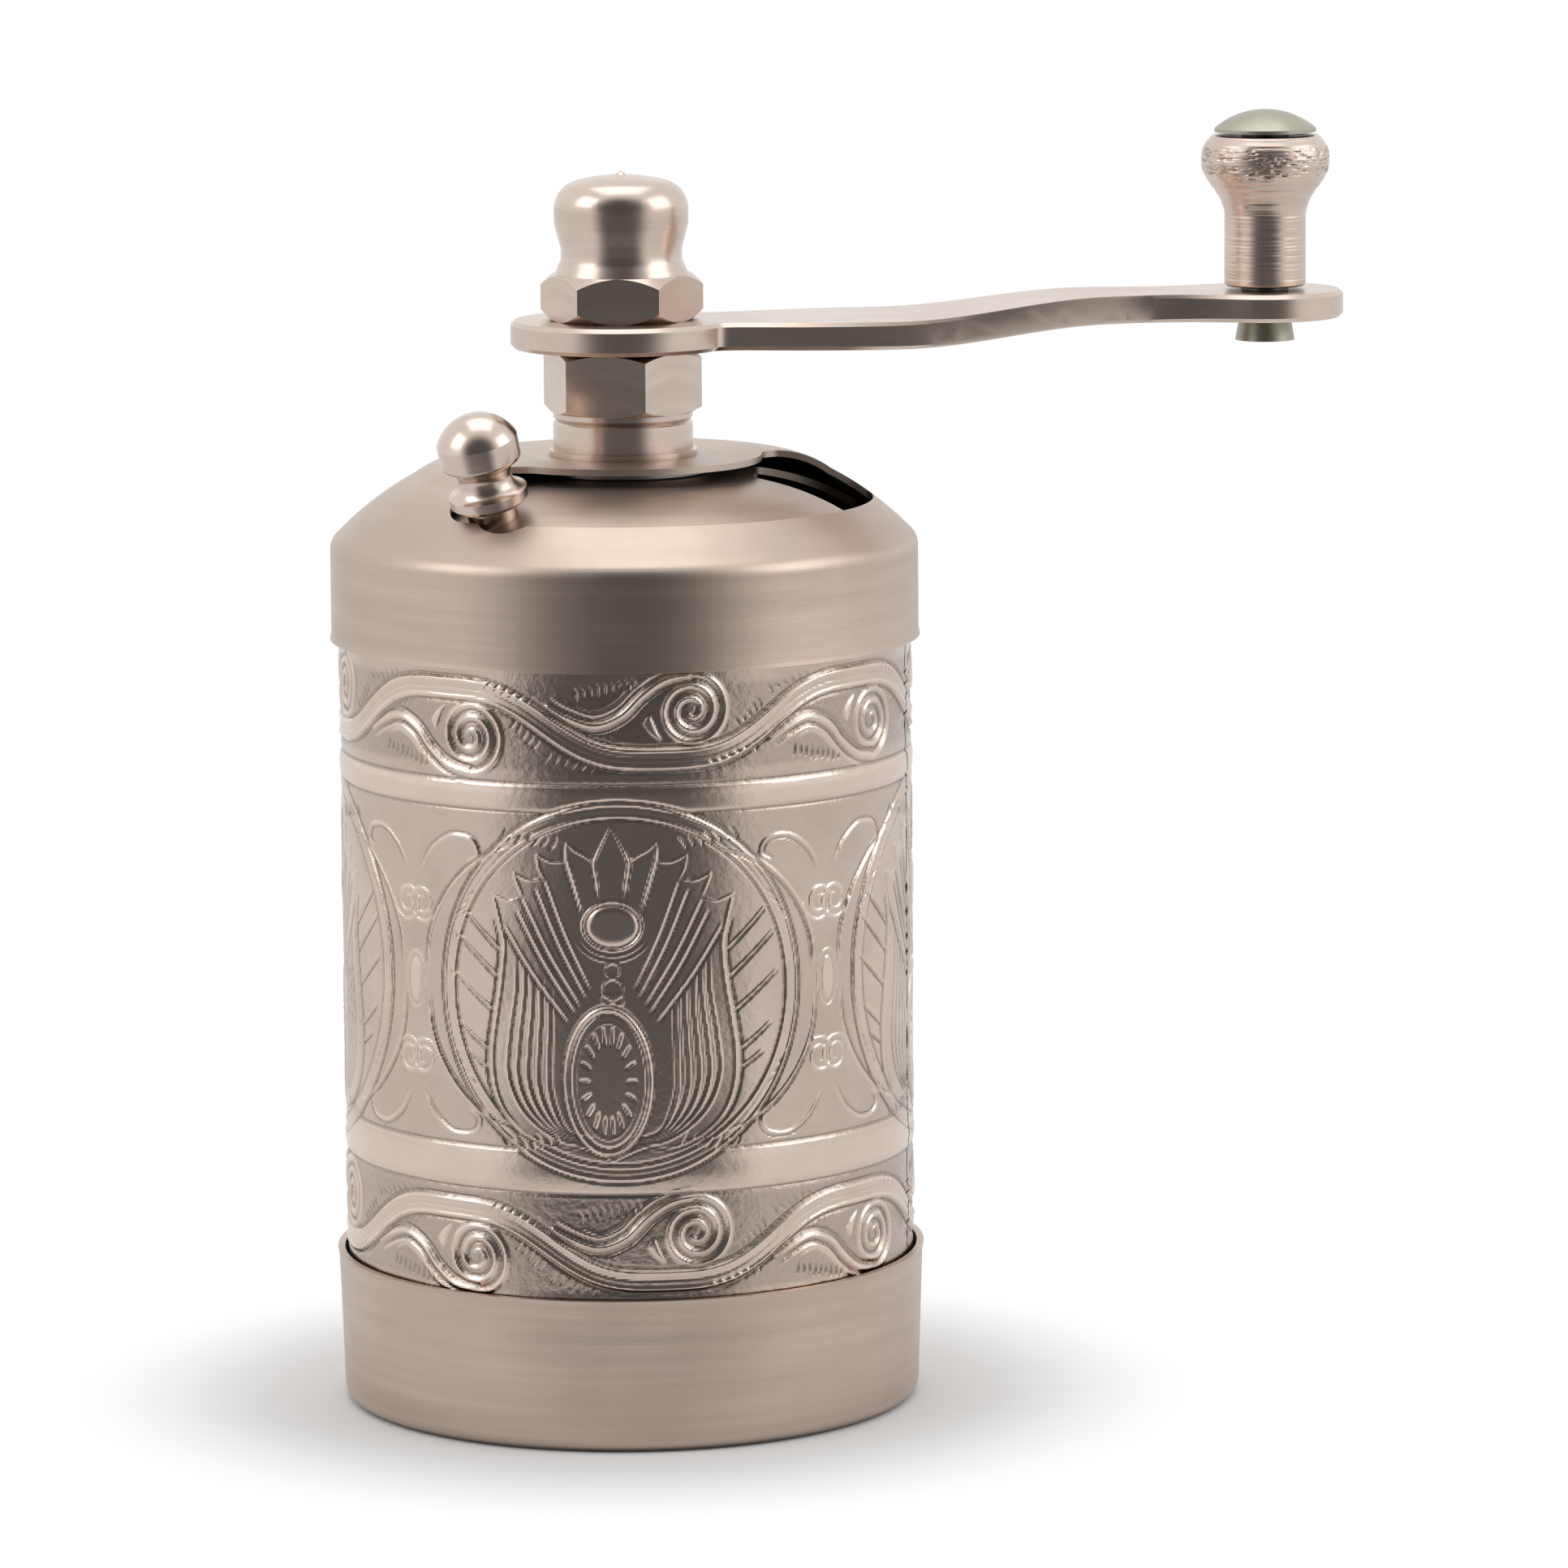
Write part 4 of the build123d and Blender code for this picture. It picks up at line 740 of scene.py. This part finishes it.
def sleeve_quarter(name, rows, turn, radii, fields, relief):
    """Closed shell: an embossed outer face, a plain inner face and four narrow edges.

    The fields are the ornament's height and its slopes round the sleeve and along it."""
    inner, plain = radii
    tall, wide = len(rows), len(turn)
    angle, z = np.meshgrid(turn, rows)
    shown = (z >= relief.low) & (z <= relief.low + (relief.tall - 1) * relief.pitch)
    rise, across, along = (np.where(shown, sample(field, relief, angle * MEAN_RADIUS, z), 0) for field in fields)
    radius = np.clip(plain + rise, inner + 0.12 * MM, plain + 0.2 * MM)
    outward = np.stack([np.sin(angle), -np.cos(angle), np.zeros_like(angle)], -1)
    sideways = np.stack([np.cos(angle), np.sin(angle), np.zeros_like(angle)], -1)
    outer = outward * radius[..., None]
    outer[..., 2] = z
    normal = outward - sideways * (across * MEAN_RADIUS / plain)[..., None]
    normal[..., 2] -= along
    normal /= np.linalg.norm(normal, axis=-1)[..., None]
    edge = [0, wide - 1]
    back_ends = outward[:, edge] * inner
    back_ends[..., 2] = z[:, edge]
    back_rims = outward[:2] * inner
    back_rims[0, :, 2], back_rims[1, :, 2] = rows[0], rows[-1]
    count = tall * wide
    left = count + np.arange(tall)
    right = count + tall + np.arange(tall)
    mid = wide - 2
    bottom = np.concatenate([[left[0]], count + 2 * tall + np.arange(mid), [right[0]]])
    top = np.concatenate([[left[-1]], count + 2 * tall + mid + np.arange(mid), [right[-1]]])
    places = np.vstack([outer.reshape(-1, 3), back_ends[:, 0], back_ends[:, 1],
                        back_rims[0, 1:-1], back_rims[1, 1:-1]])
    index = np.arange(count).reshape(tall, wide)
    faces = []

    def strip(a, b):
        """Quads between two rows of points."""
        return np.stack([a[:-1], a[1:], b[1:], b[:-1]], 1).tolist()

    for i in range(tall - 1):
        faces += strip(index[i], index[i + 1])
    faces += strip(index[-1], top)
    faces += strip(bottom, index[0])
    faces += strip(index[::-1, 0], left[::-1])
    faces += strip(index[:, -1], right)
    faces += [[a, b, c, d] for a, b, c, d in zip(top[1:-2], top[2:-1], bottom[2:-1], bottom[1:-2])]
    faces.append([bottom[1]] + [bottom[0]] + left[1:-1].tolist() + [top[0]] + [top[1]])
    faces.append([top[-2]] + [top[-1]] + right[1:-1][::-1].tolist() + [bottom[-1]] + [bottom[-2]])
    mesh = bpy.data.meshes.new(name)
    mesh.from_pydata(places.tolist(), [], [[int(i) for i in face] for face in faces])
    mesh.validate()
    mesh.shade_smooth()
    normals = np.zeros((len(places), 3))
    normals[:count] = normal.reshape(-1, 3)
    mesh.normals_split_custom_set_from_vertices(normals.tolist())
    relief_map = mesh.attributes.new("relief", "FLOAT", "POINT")
    values = np.zeros(len(places), np.float32)
    values[:count] = (rise / RIB_RISE).ravel()
    relief_map.data.foreach_set("value", values)
    return bpy.data.objects.new(name, mesh)


# ------------------------ crank grip
def lathe(name, profile, centre, steps=128):
    """Closed turned body from a closed outline of (radius, height) places round a vertical axis."""
    profile = np.asarray(profile, float)
    angle = np.linspace(0, 2 * math.pi, steps, endpoint=False)
    rings = np.stack([centre[0] + profile[:, None, 0] * np.cos(angle),
                      centre[1] + profile[:, None, 0] * np.sin(angle),
                      np.repeat(profile[:, None, 1], steps, 1)], -1)
    count = len(profile)
    index = np.arange(count * steps).reshape(count, steps)
    faces = []
    for i in range(count):
        a, b = index[i], index[(i + 1) % count]
        faces += np.stack([a, np.roll(a, -1), np.roll(b, -1), b], 1).tolist()
    mesh = bpy.data.meshes.new(name)
    mesh.from_pydata(rings.reshape(-1, 3).tolist(), [], faces)
    mesh.validate()
    return mesh


def tool_marks_tree():
    """Displaces a turned body by uneven rings along its axis and by pits in a band."""
    numbers = ("Ring Pitch", "Ring Depth", "Pit Size", "Pit Depth", "Pit Low", "Pit High", "Foot", "Bore",
               "Seed")
    tree, given, out = new_group(
        "Turned rings and pits",
        [("Geometry", "geometry"), *((label, "value") for label in numbers), ("Centre", "vector"),
         ("Material", "material")],
        [("Geometry", "geometry")], "GeometryNodeTree")

    def rises(value, start, width):
        """Smooth step that starts at an input and takes a width."""
        return ramp(tree, value, given[start], maths(tree, "ADD", given[start], width))

    spot = tree.nodes.new("GeometryNodeInputPosition").outputs[0]
    own = wire(tree, "ShaderNodeVectorMath", {"operation": "SUBTRACT"}, {0: spot, 1: given["Centre"]}).outputs[0]
    axes, radius = axes_and_radius(tree, own)
    along = maths(tree, "DIVIDE", axes[2], given["Ring Pitch"])
    line = wire(tree, "ShaderNodeTexNoise", {"noise_dimensions": "2D"},
                {"Vector": wire(tree, "ShaderNodeCombineXYZ", {}, {0: along, 1: given["Seed"]}).outputs[0],
                 "Scale": 1.0, "Detail": 1.0})
    rings = times(tree, ramp(tree, line.outputs["Fac"], 0.42, 0.66, 0.0, -1.0), given["Ring Depth"])
    cells = wire(tree, "ShaderNodeTexNoise", {"noise_dimensions": "4D"},
                 {"Vector": own, "W": given["Seed"], "Scale": maths(tree, "DIVIDE", 1.0, given["Pit Size"]),
                  "Detail": 1.5})
    band = times(tree, rises(axes[2], "Pit Low", 0.0008), rises(axes[2], "Pit High", -0.0008))
    pits = times(tree, ramp(tree, cells.outputs["Fac"], 0.56, 0.66, 0.0, -1.0), band)
    pits = times(tree, pits, given["Pit Depth"])
    wall = times(tree, rises(radius, "Bore", 0.001), rises(axes[2], "Foot", 0.0003))
    depth = times(tree, maths(tree, "MINIMUM", rings, pits), wall)
    normal = tree.nodes.new("GeometryNodeInputNormal").outputs[0]
    shift = wire(tree, "ShaderNodeVectorMath", {"operation": "SCALE"}, {0: normal, "Scale": depth}).outputs[0]
    shaped = wire(tree, "GeometryNodeSetPosition", {}, {"Geometry": given["Geometry"], "Offset": shift})
    smooth = wire(tree, "GeometryNodeSetShadeSmooth", {"domain": "FACE"}, {"Geometry": shaped.outputs[0]})
    paint(tree, smooth.outputs[0], given["Material"], out["Geometry"])
    return tree


def grow(context, mesh, name, tree, inputs):
    """Run a Geometry Nodes tree on a mesh and keep its result as a plain mesh."""
    piece = bpy.data.objects.new(name, mesh)
    context.scene.collection.objects.link(piece)
    modifier = piece.modifiers.new(tree.name, "NODES")
    modifier.node_group = tree
    for label, value in inputs.items():
        modifier[socket_id(tree, label)] = value
    context.view_layer.update()
    result = bpy.data.meshes.new_from_object(piece.evaluated_get(context.evaluated_depsgraph_get()))
    piece.modifiers.clear()
    piece.data = result
    result.name = name
    return piece


class MILL_OT_grip(bpy.types.Operator):
    """Turned crank grip with tool rings along its stem and pits round its ball"""
    bl_idname = "mill.grip"
    bl_label = "Crank grip"

    def execute(self, context):
        make = context.scene.mill_turning
        low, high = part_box("crank_knob")
        centre = Vector(((low.x + high.x) / 2, (low.y + high.y) / 2, 0))
        bore = 2.06 * MM     # hole for the rivet's shank
        foot, top = low.z, high.z
        points = np.array([(3.3, 0.0), (3.5, 0.2), (3.5, 3.0), (3.5, 6.0), (3.62, 6.8), (3.95, 7.6),
                           (4.75, 8.77), (5.33, 9.75), (5.5, 10.96), (5.28, 12.0), (4.6, 12.9)]) * MM
        wall = np.vstack([[(points[0][0], 0)], curve(points[1:5], 150)[:-1], curve(points[4:], 220)])
        wall[:, 1] += foot
        profile = np.vstack([[(bore, foot)], wall, [(bore, top)]])
        material = metal("turned_nickel", context.scene.mill_finish.nickel, {
            "roughness": 0.24, "centre": centre, "pitch": 0.00009, "sweep": 90.0, "grain": 0.000006,
            "patch": 0.004})
        mesh = lathe("crank_grip", profile, centre)
        piece = grow(context, mesh, "crank_grip", tool_marks_tree(), {
            "Ring Pitch": make.ring_pitch, "Ring Depth": make.ring_depth, "Pit Size": make.pit_size,
            "Pit Depth": make.pit_depth, "Pit Low": foot + 9.0 * MM, "Pit High": foot + 12.4 * MM,
            "Foot": foot, "Bore": bore, "Seed": float(make.seed), "Centre": centre, "Material": material})
        finish_piece(piece, "knob", "turned_nickel", "crank_knob")
        return {"FINISHED"}


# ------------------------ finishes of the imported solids
def axis_of(node):
    """Middle of a solid seen from above, where its turning axis stands."""
    low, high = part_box(node)
    return ((low.x + high.x) / 2, (low.y + high.y) / 2, 0.0)


class MILL_OT_cap(bpy.types.Operator):
    """Brushed nickel on the domed cap, the shutter behind its window and the cup"""
    bl_idname = "mill.cap"
    bl_label = "Cap, shutter and cup"

    def execute(self, context):
        tone = context.scene.mill_finish.satin
        satin = metal("satin_nickel", tone, {
            "roughness": 0.33, "pitch": 0.00010, "sweep": 45.0, "grain": 0.000009, "patch": 0.012})
        dress(["top_cap", "grounds_cup", "shutter_plate"], satin)
        return {"FINISHED"}


class MILL_OT_bright(bpy.types.Operator):
    """Polished nickel on the bush, washer, domed nut and shutter pull"""
    bl_idname = "mill.bright"
    bl_label = "Bush, nut and pull"

    def execute(self, context):
        tone = context.scene.mill_finish.nickel
        polish = {"roughness": 0.17, "sweep": 70.0, "grain": 0.0000035}
        dress(["bearing_bush", "bush_washer", "acorn_nut"],
              metal("polished_nickel", tone, {**polish, "patch": 0.006}))
        low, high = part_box("shutter_pull")
        lean = math.radians(18) * math.cos(math.radians(34.8))
        dress(["shutter_pull"], metal("polished_pull", tone, {
            **polish, "patch": 0.005, "centre": tuple((low + high) / 2), "turn": (lean, 0, 0)}))
        return {"FINISHED"}


class MILL_OT_crank(bpy.types.Operator):
    """Plated crank arm drawn lengthwise, and the aged rivet that carries the grip"""
    bl_idname = "mill.crank"
    bl_label = "Crank arm and rivet"

    def execute(self, context):
        finish = context.scene.mill_finish
        hub, knob = Vector(axis_of("acorn_nut")), Vector(axis_of("crank_knob"))
        reach = knob - hub
        bearing = math.atan2(reach.y, reach.x)
        arm = metal("arm_nickel", finish.nickel, {
            "roughness": 0.22, "turn": (0, 0, bearing), "stretch": (8.0, 1.0, 1.0), "pitch": 0.00016,
            "sweep": 500.0, "grain": 0.000004, "patch": 0.01})
        dress(["crank_arm"], arm)
        # The rivet's corners get stronger painted shade.
        rivet = metal("aged_nickel", finish.aged, {
            "roughness": 0.34, "centre": tuple(knob), "pitch": 0.00014, "grain": 0.000006, "patch": 0.003,
            "corner_shade": 0.8})
        dress(["knob_pin"], rivet)
        return {"FINISHED"}


class MILL_OT_works(bpy.types.Operator):
    """Steel shaft, nuts, collar and bridge, and the dark iron burrs"""
    bl_idname = "mill.works"
    bl_label = "Grinding works"

    def execute(self, context):
        finish = context.scene.mill_finish
        # Steel and iron get stronger painted shade in their corners.
        steel = metal("inner_steel", finish.steel, {
            "roughness": 0.32, "pitch": 0.00014, "grain": 0.000007, "patch": 0.007, "corner_shade": 0.8})
        iron = metal("burr_iron", finish.iron, {
            "roughness": 0.5, "pitch": 0.0003, "sweep": 900.0, "grain": 0.00002, "patch": 0.004, "corner_shade": 0.8})
        dress(["barrel", "shaft", "stop_collar", "collar_pin", "shutter_hub", "shutter_washer",
               "bush_lock_nut", "burr_nut", "lower_bridge", "bridge_screws", "adjusting_screw",
               "adjuster_lock_nut"], steel)
        dress(["inner_burr", "burr_ring"], iron, 35.0)
        return {"FINISHED"}


# ------------------------ stage
def studio_world(context):
    """White room that is dim on the camera's side, so turned metal shows a dark middle line."""
    world = bpy.data.worlds.new("Studio")
    context.scene.world = world
    world.use_nodes = True
    tree = world.node_tree
    tree.nodes.clear()
    way = tree.nodes.new("ShaderNodeTexCoord").outputs["Generated"]
    lean, darkest, diffuse_light = math.radians(16), 0.10, 0.62
    front = wire(tree, "ShaderNodeVectorMath", {"operation": "DOT_PRODUCT"},
                 {0: way, 1: (0, -math.cos(lean), math.sin(lean))}).outputs["Value"]
    room = ramp(tree, front, 0.58, 0.90, 1.0, darkest)
    rays = tree.nodes.new("ShaderNodeLightPath").outputs
    lit = maths(tree, "ADD", times(tree, rays["Is Glossy Ray"], room),
                times(tree, maths(tree, "SUBTRACT", 1.0, rays["Is Glossy Ray"]), diffuse_light))
    seen = maths(tree, "MAXIMUM", rays["Is Camera Ray"], rays["Is Transmission Ray"])
    strength = maths(tree, "ADD", seen, times(tree, maths(tree, "SUBTRACT", 1.0, seen), lit))
    shade = wire(tree, "ShaderNodeBackground", {}, {"Color": (1, 1, 1, 1), "Strength": strength})
    tree.links.new(shade.outputs[0], tree.nodes.new("ShaderNodeOutputWorld").inputs["Surface"])


def pale_floor(context, make):
    """Pale floor that shows the mill's shadow and fades into the white background."""
    floor_z = CAD_BOX[0].z - 0.02 * MM
    half = 5.0
    corners = [(half * x, half * y, floor_z) for x, y in ((-1, -1), (1, -1), (1, 1), (-1, 1))]
    mesh = bpy.data.meshes.new("floor")
    mesh.from_pydata(corners, [], [(0, 1, 2, 3)])
    floor = bpy.data.objects.new("floor", mesh)
    context.scene.collection.objects.link(floor)
    made, tree, shader, spot = new_material("pale_floor")
    axes, away = axes_and_radius(tree, spot)
    speck = wire(tree, "ShaderNodeTexNoise", {}, {"Vector": spot, "Scale": 40.0, "Detail": 4.0})
    base = mix_colour(tree, speck.outputs["Fac"], tint(make.floor, 1.0), tint(make.floor, 1.03))
    tree.links.new(base, shader.inputs["Base Color"])
    shader.inputs["Roughness"].default_value = 0.9
    shader.inputs["Specular IOR Level"].default_value = 0.1
    far = ramp(tree, away, 0.027, 0.050)
    rays = tree.nodes.new("ShaderNodeLightPath").outputs
    white = wire(tree, "ShaderNodeEmission", {}, {"Color": (1, 1, 1, 1), "Strength": 1.0})
    # in the metal's reflections the floor darkens ahead of the mill, as the room does
    ahead = maths(tree, "DIVIDE", times(tree, axes[1], -1.0), maths(tree, "MAXIMUM", away, 0.01))
    dim = times(tree, ramp(tree, ahead, 0.60, 0.92), ramp(tree, away, 0.035, 0.15))
    level = maths(tree, "MULTIPLY_ADD", dim, -0.74, 0.88)
    mirrored = wire(tree, "ShaderNodeEmission", {}, {"Color": (1, 1, 1, 1), "Strength": level})
    seen = wire(tree, "ShaderNodeMixShader", {},
                {0: times(tree, rays["Is Camera Ray"], far), 1: shader.outputs[0],
                 2: white.outputs[0]})
    whole = wire(tree, "ShaderNodeMixShader", {},
                 {0: times(tree, rays["Is Glossy Ray"], ramp(tree, away, 0.026, 0.06)),
                  1: seen.outputs[0], 2: mirrored.outputs[0]})
    tree.links.new(whole.outputs[0], tree.nodes["Material Output"].inputs["Surface"])
    mesh.materials.append(made)


def softbox(context, name, place_at, aim, size, brightness):
    """Square area lamp whose face has a set brightness."""
    lamp = bpy.data.lights.new(name, "AREA")
    lamp.shape = "SQUARE"
    lamp.size = size
    lamp.energy = brightness * math.pi * size * size
    box = bpy.data.objects.new(name, lamp)
    context.scene.collection.objects.link(box)
    box.location = place_at
    box.rotation_mode = "QUATERNION"
    box.rotation_quaternion = (Vector(aim) - Vector(place_at)).to_track_quat("-Z", "Y")


class MILL_OT_stage(bpy.types.Operator):
    """Pale floor, soft studio light and the camera"""
    bl_idname = "mill.stage"
    bl_label = "Stage"

    def execute(self, context):
        make = context.scene.mill_stage
        scene = context.scene
        scene.view_settings.view_transform = "Standard"
        studio_world(context)
        pale_floor(context, make)
        aim = Vector((13.5, 0.0, 52.9)) * MM
        for side, spot, size, share in (("left", (-0.95, -0.35, 0.75), 0.7, 1.0),
                                        ("right", (0.95, -0.20, 0.60), 0.7, 1.0),
                                        ("top", (0.0, 0.15, 1.1), 0.8, 0.8)):
            softbox(context, "softbox_" + side, spot, aim, size, make.softbox * share)
        camera = bpy.data.objects.new("camera", bpy.data.cameras.new("camera"))
        scene.collection.objects.link(camera)
        camera.data.lens = make.lens
        camera.data.sensor_width = 36.0
        rise = make.camera_height
        back = Vector((0, -math.cos(rise), math.sin(rise)))
        camera.location = aim + back * make.camera_distance
        camera.rotation_mode = "QUATERNION"
        level = (-back).to_track_quat("-Z", "Y")
        camera.rotation_quaternion = level @ Matrix.Rotation(make.camera_roll, 3, "Z").to_quaternion()
        camera.data.clip_start, camera.data.clip_end = 0.01, 20.0
        scene.camera = camera
        return {"FINISHED"}


# ------------------------ sidebar
class VIEW3D_PT_mill(bpy.types.Panel):
    """Lists the mill's pieces and its stage"""
    bl_label = "Cylinder hand mill"
    bl_space_type = "VIEW_3D"
    bl_region_type = "UI"
    bl_category = "Mill"

    def draw(self, context):
        for maker in OPERATORS:
            self.layout.operator(maker.bl_idname)


OPERATORS = (MILL_OT_sleeve, MILL_OT_cap, MILL_OT_bright, MILL_OT_crank, MILL_OT_grip, MILL_OT_works,
             MILL_OT_stage)
GROUPS = {"mill_embossing": MillEmbossing, "mill_turning": MillTurning, "mill_finish": MillFinish,
          "mill_stage": MillStage}


def register():
    """Make the sizes, the operators and the panel known to Blender."""
    for name, group in GROUPS.items():
        bpy.utils.register_class(group)
        setattr(bpy.types.Scene, name, PointerProperty(type=group))
    for maker in OPERATORS + (VIEW3D_PT_mill,):
        bpy.utils.register_class(maker)


def unregister():
    """Take them out again."""
    for maker in reversed(OPERATORS + (VIEW3D_PT_mill,)):
        bpy.utils.unregister_class(maker)
    for name, group in GROUPS.items():
        delattr(bpy.types.Scene, name)
        bpy.utils.unregister_class(group)


def main():
    """Build the mill's looks and its stage."""
    register()
    for make in (turned_grain_group, cloud_group, wear_and_shade_group):
        make()
    for maker in OPERATORS:
        family, action = maker.bl_idname.split(".")
        getattr(getattr(bpy.ops, family), action)()


if __name__ == "__main__":
    main()
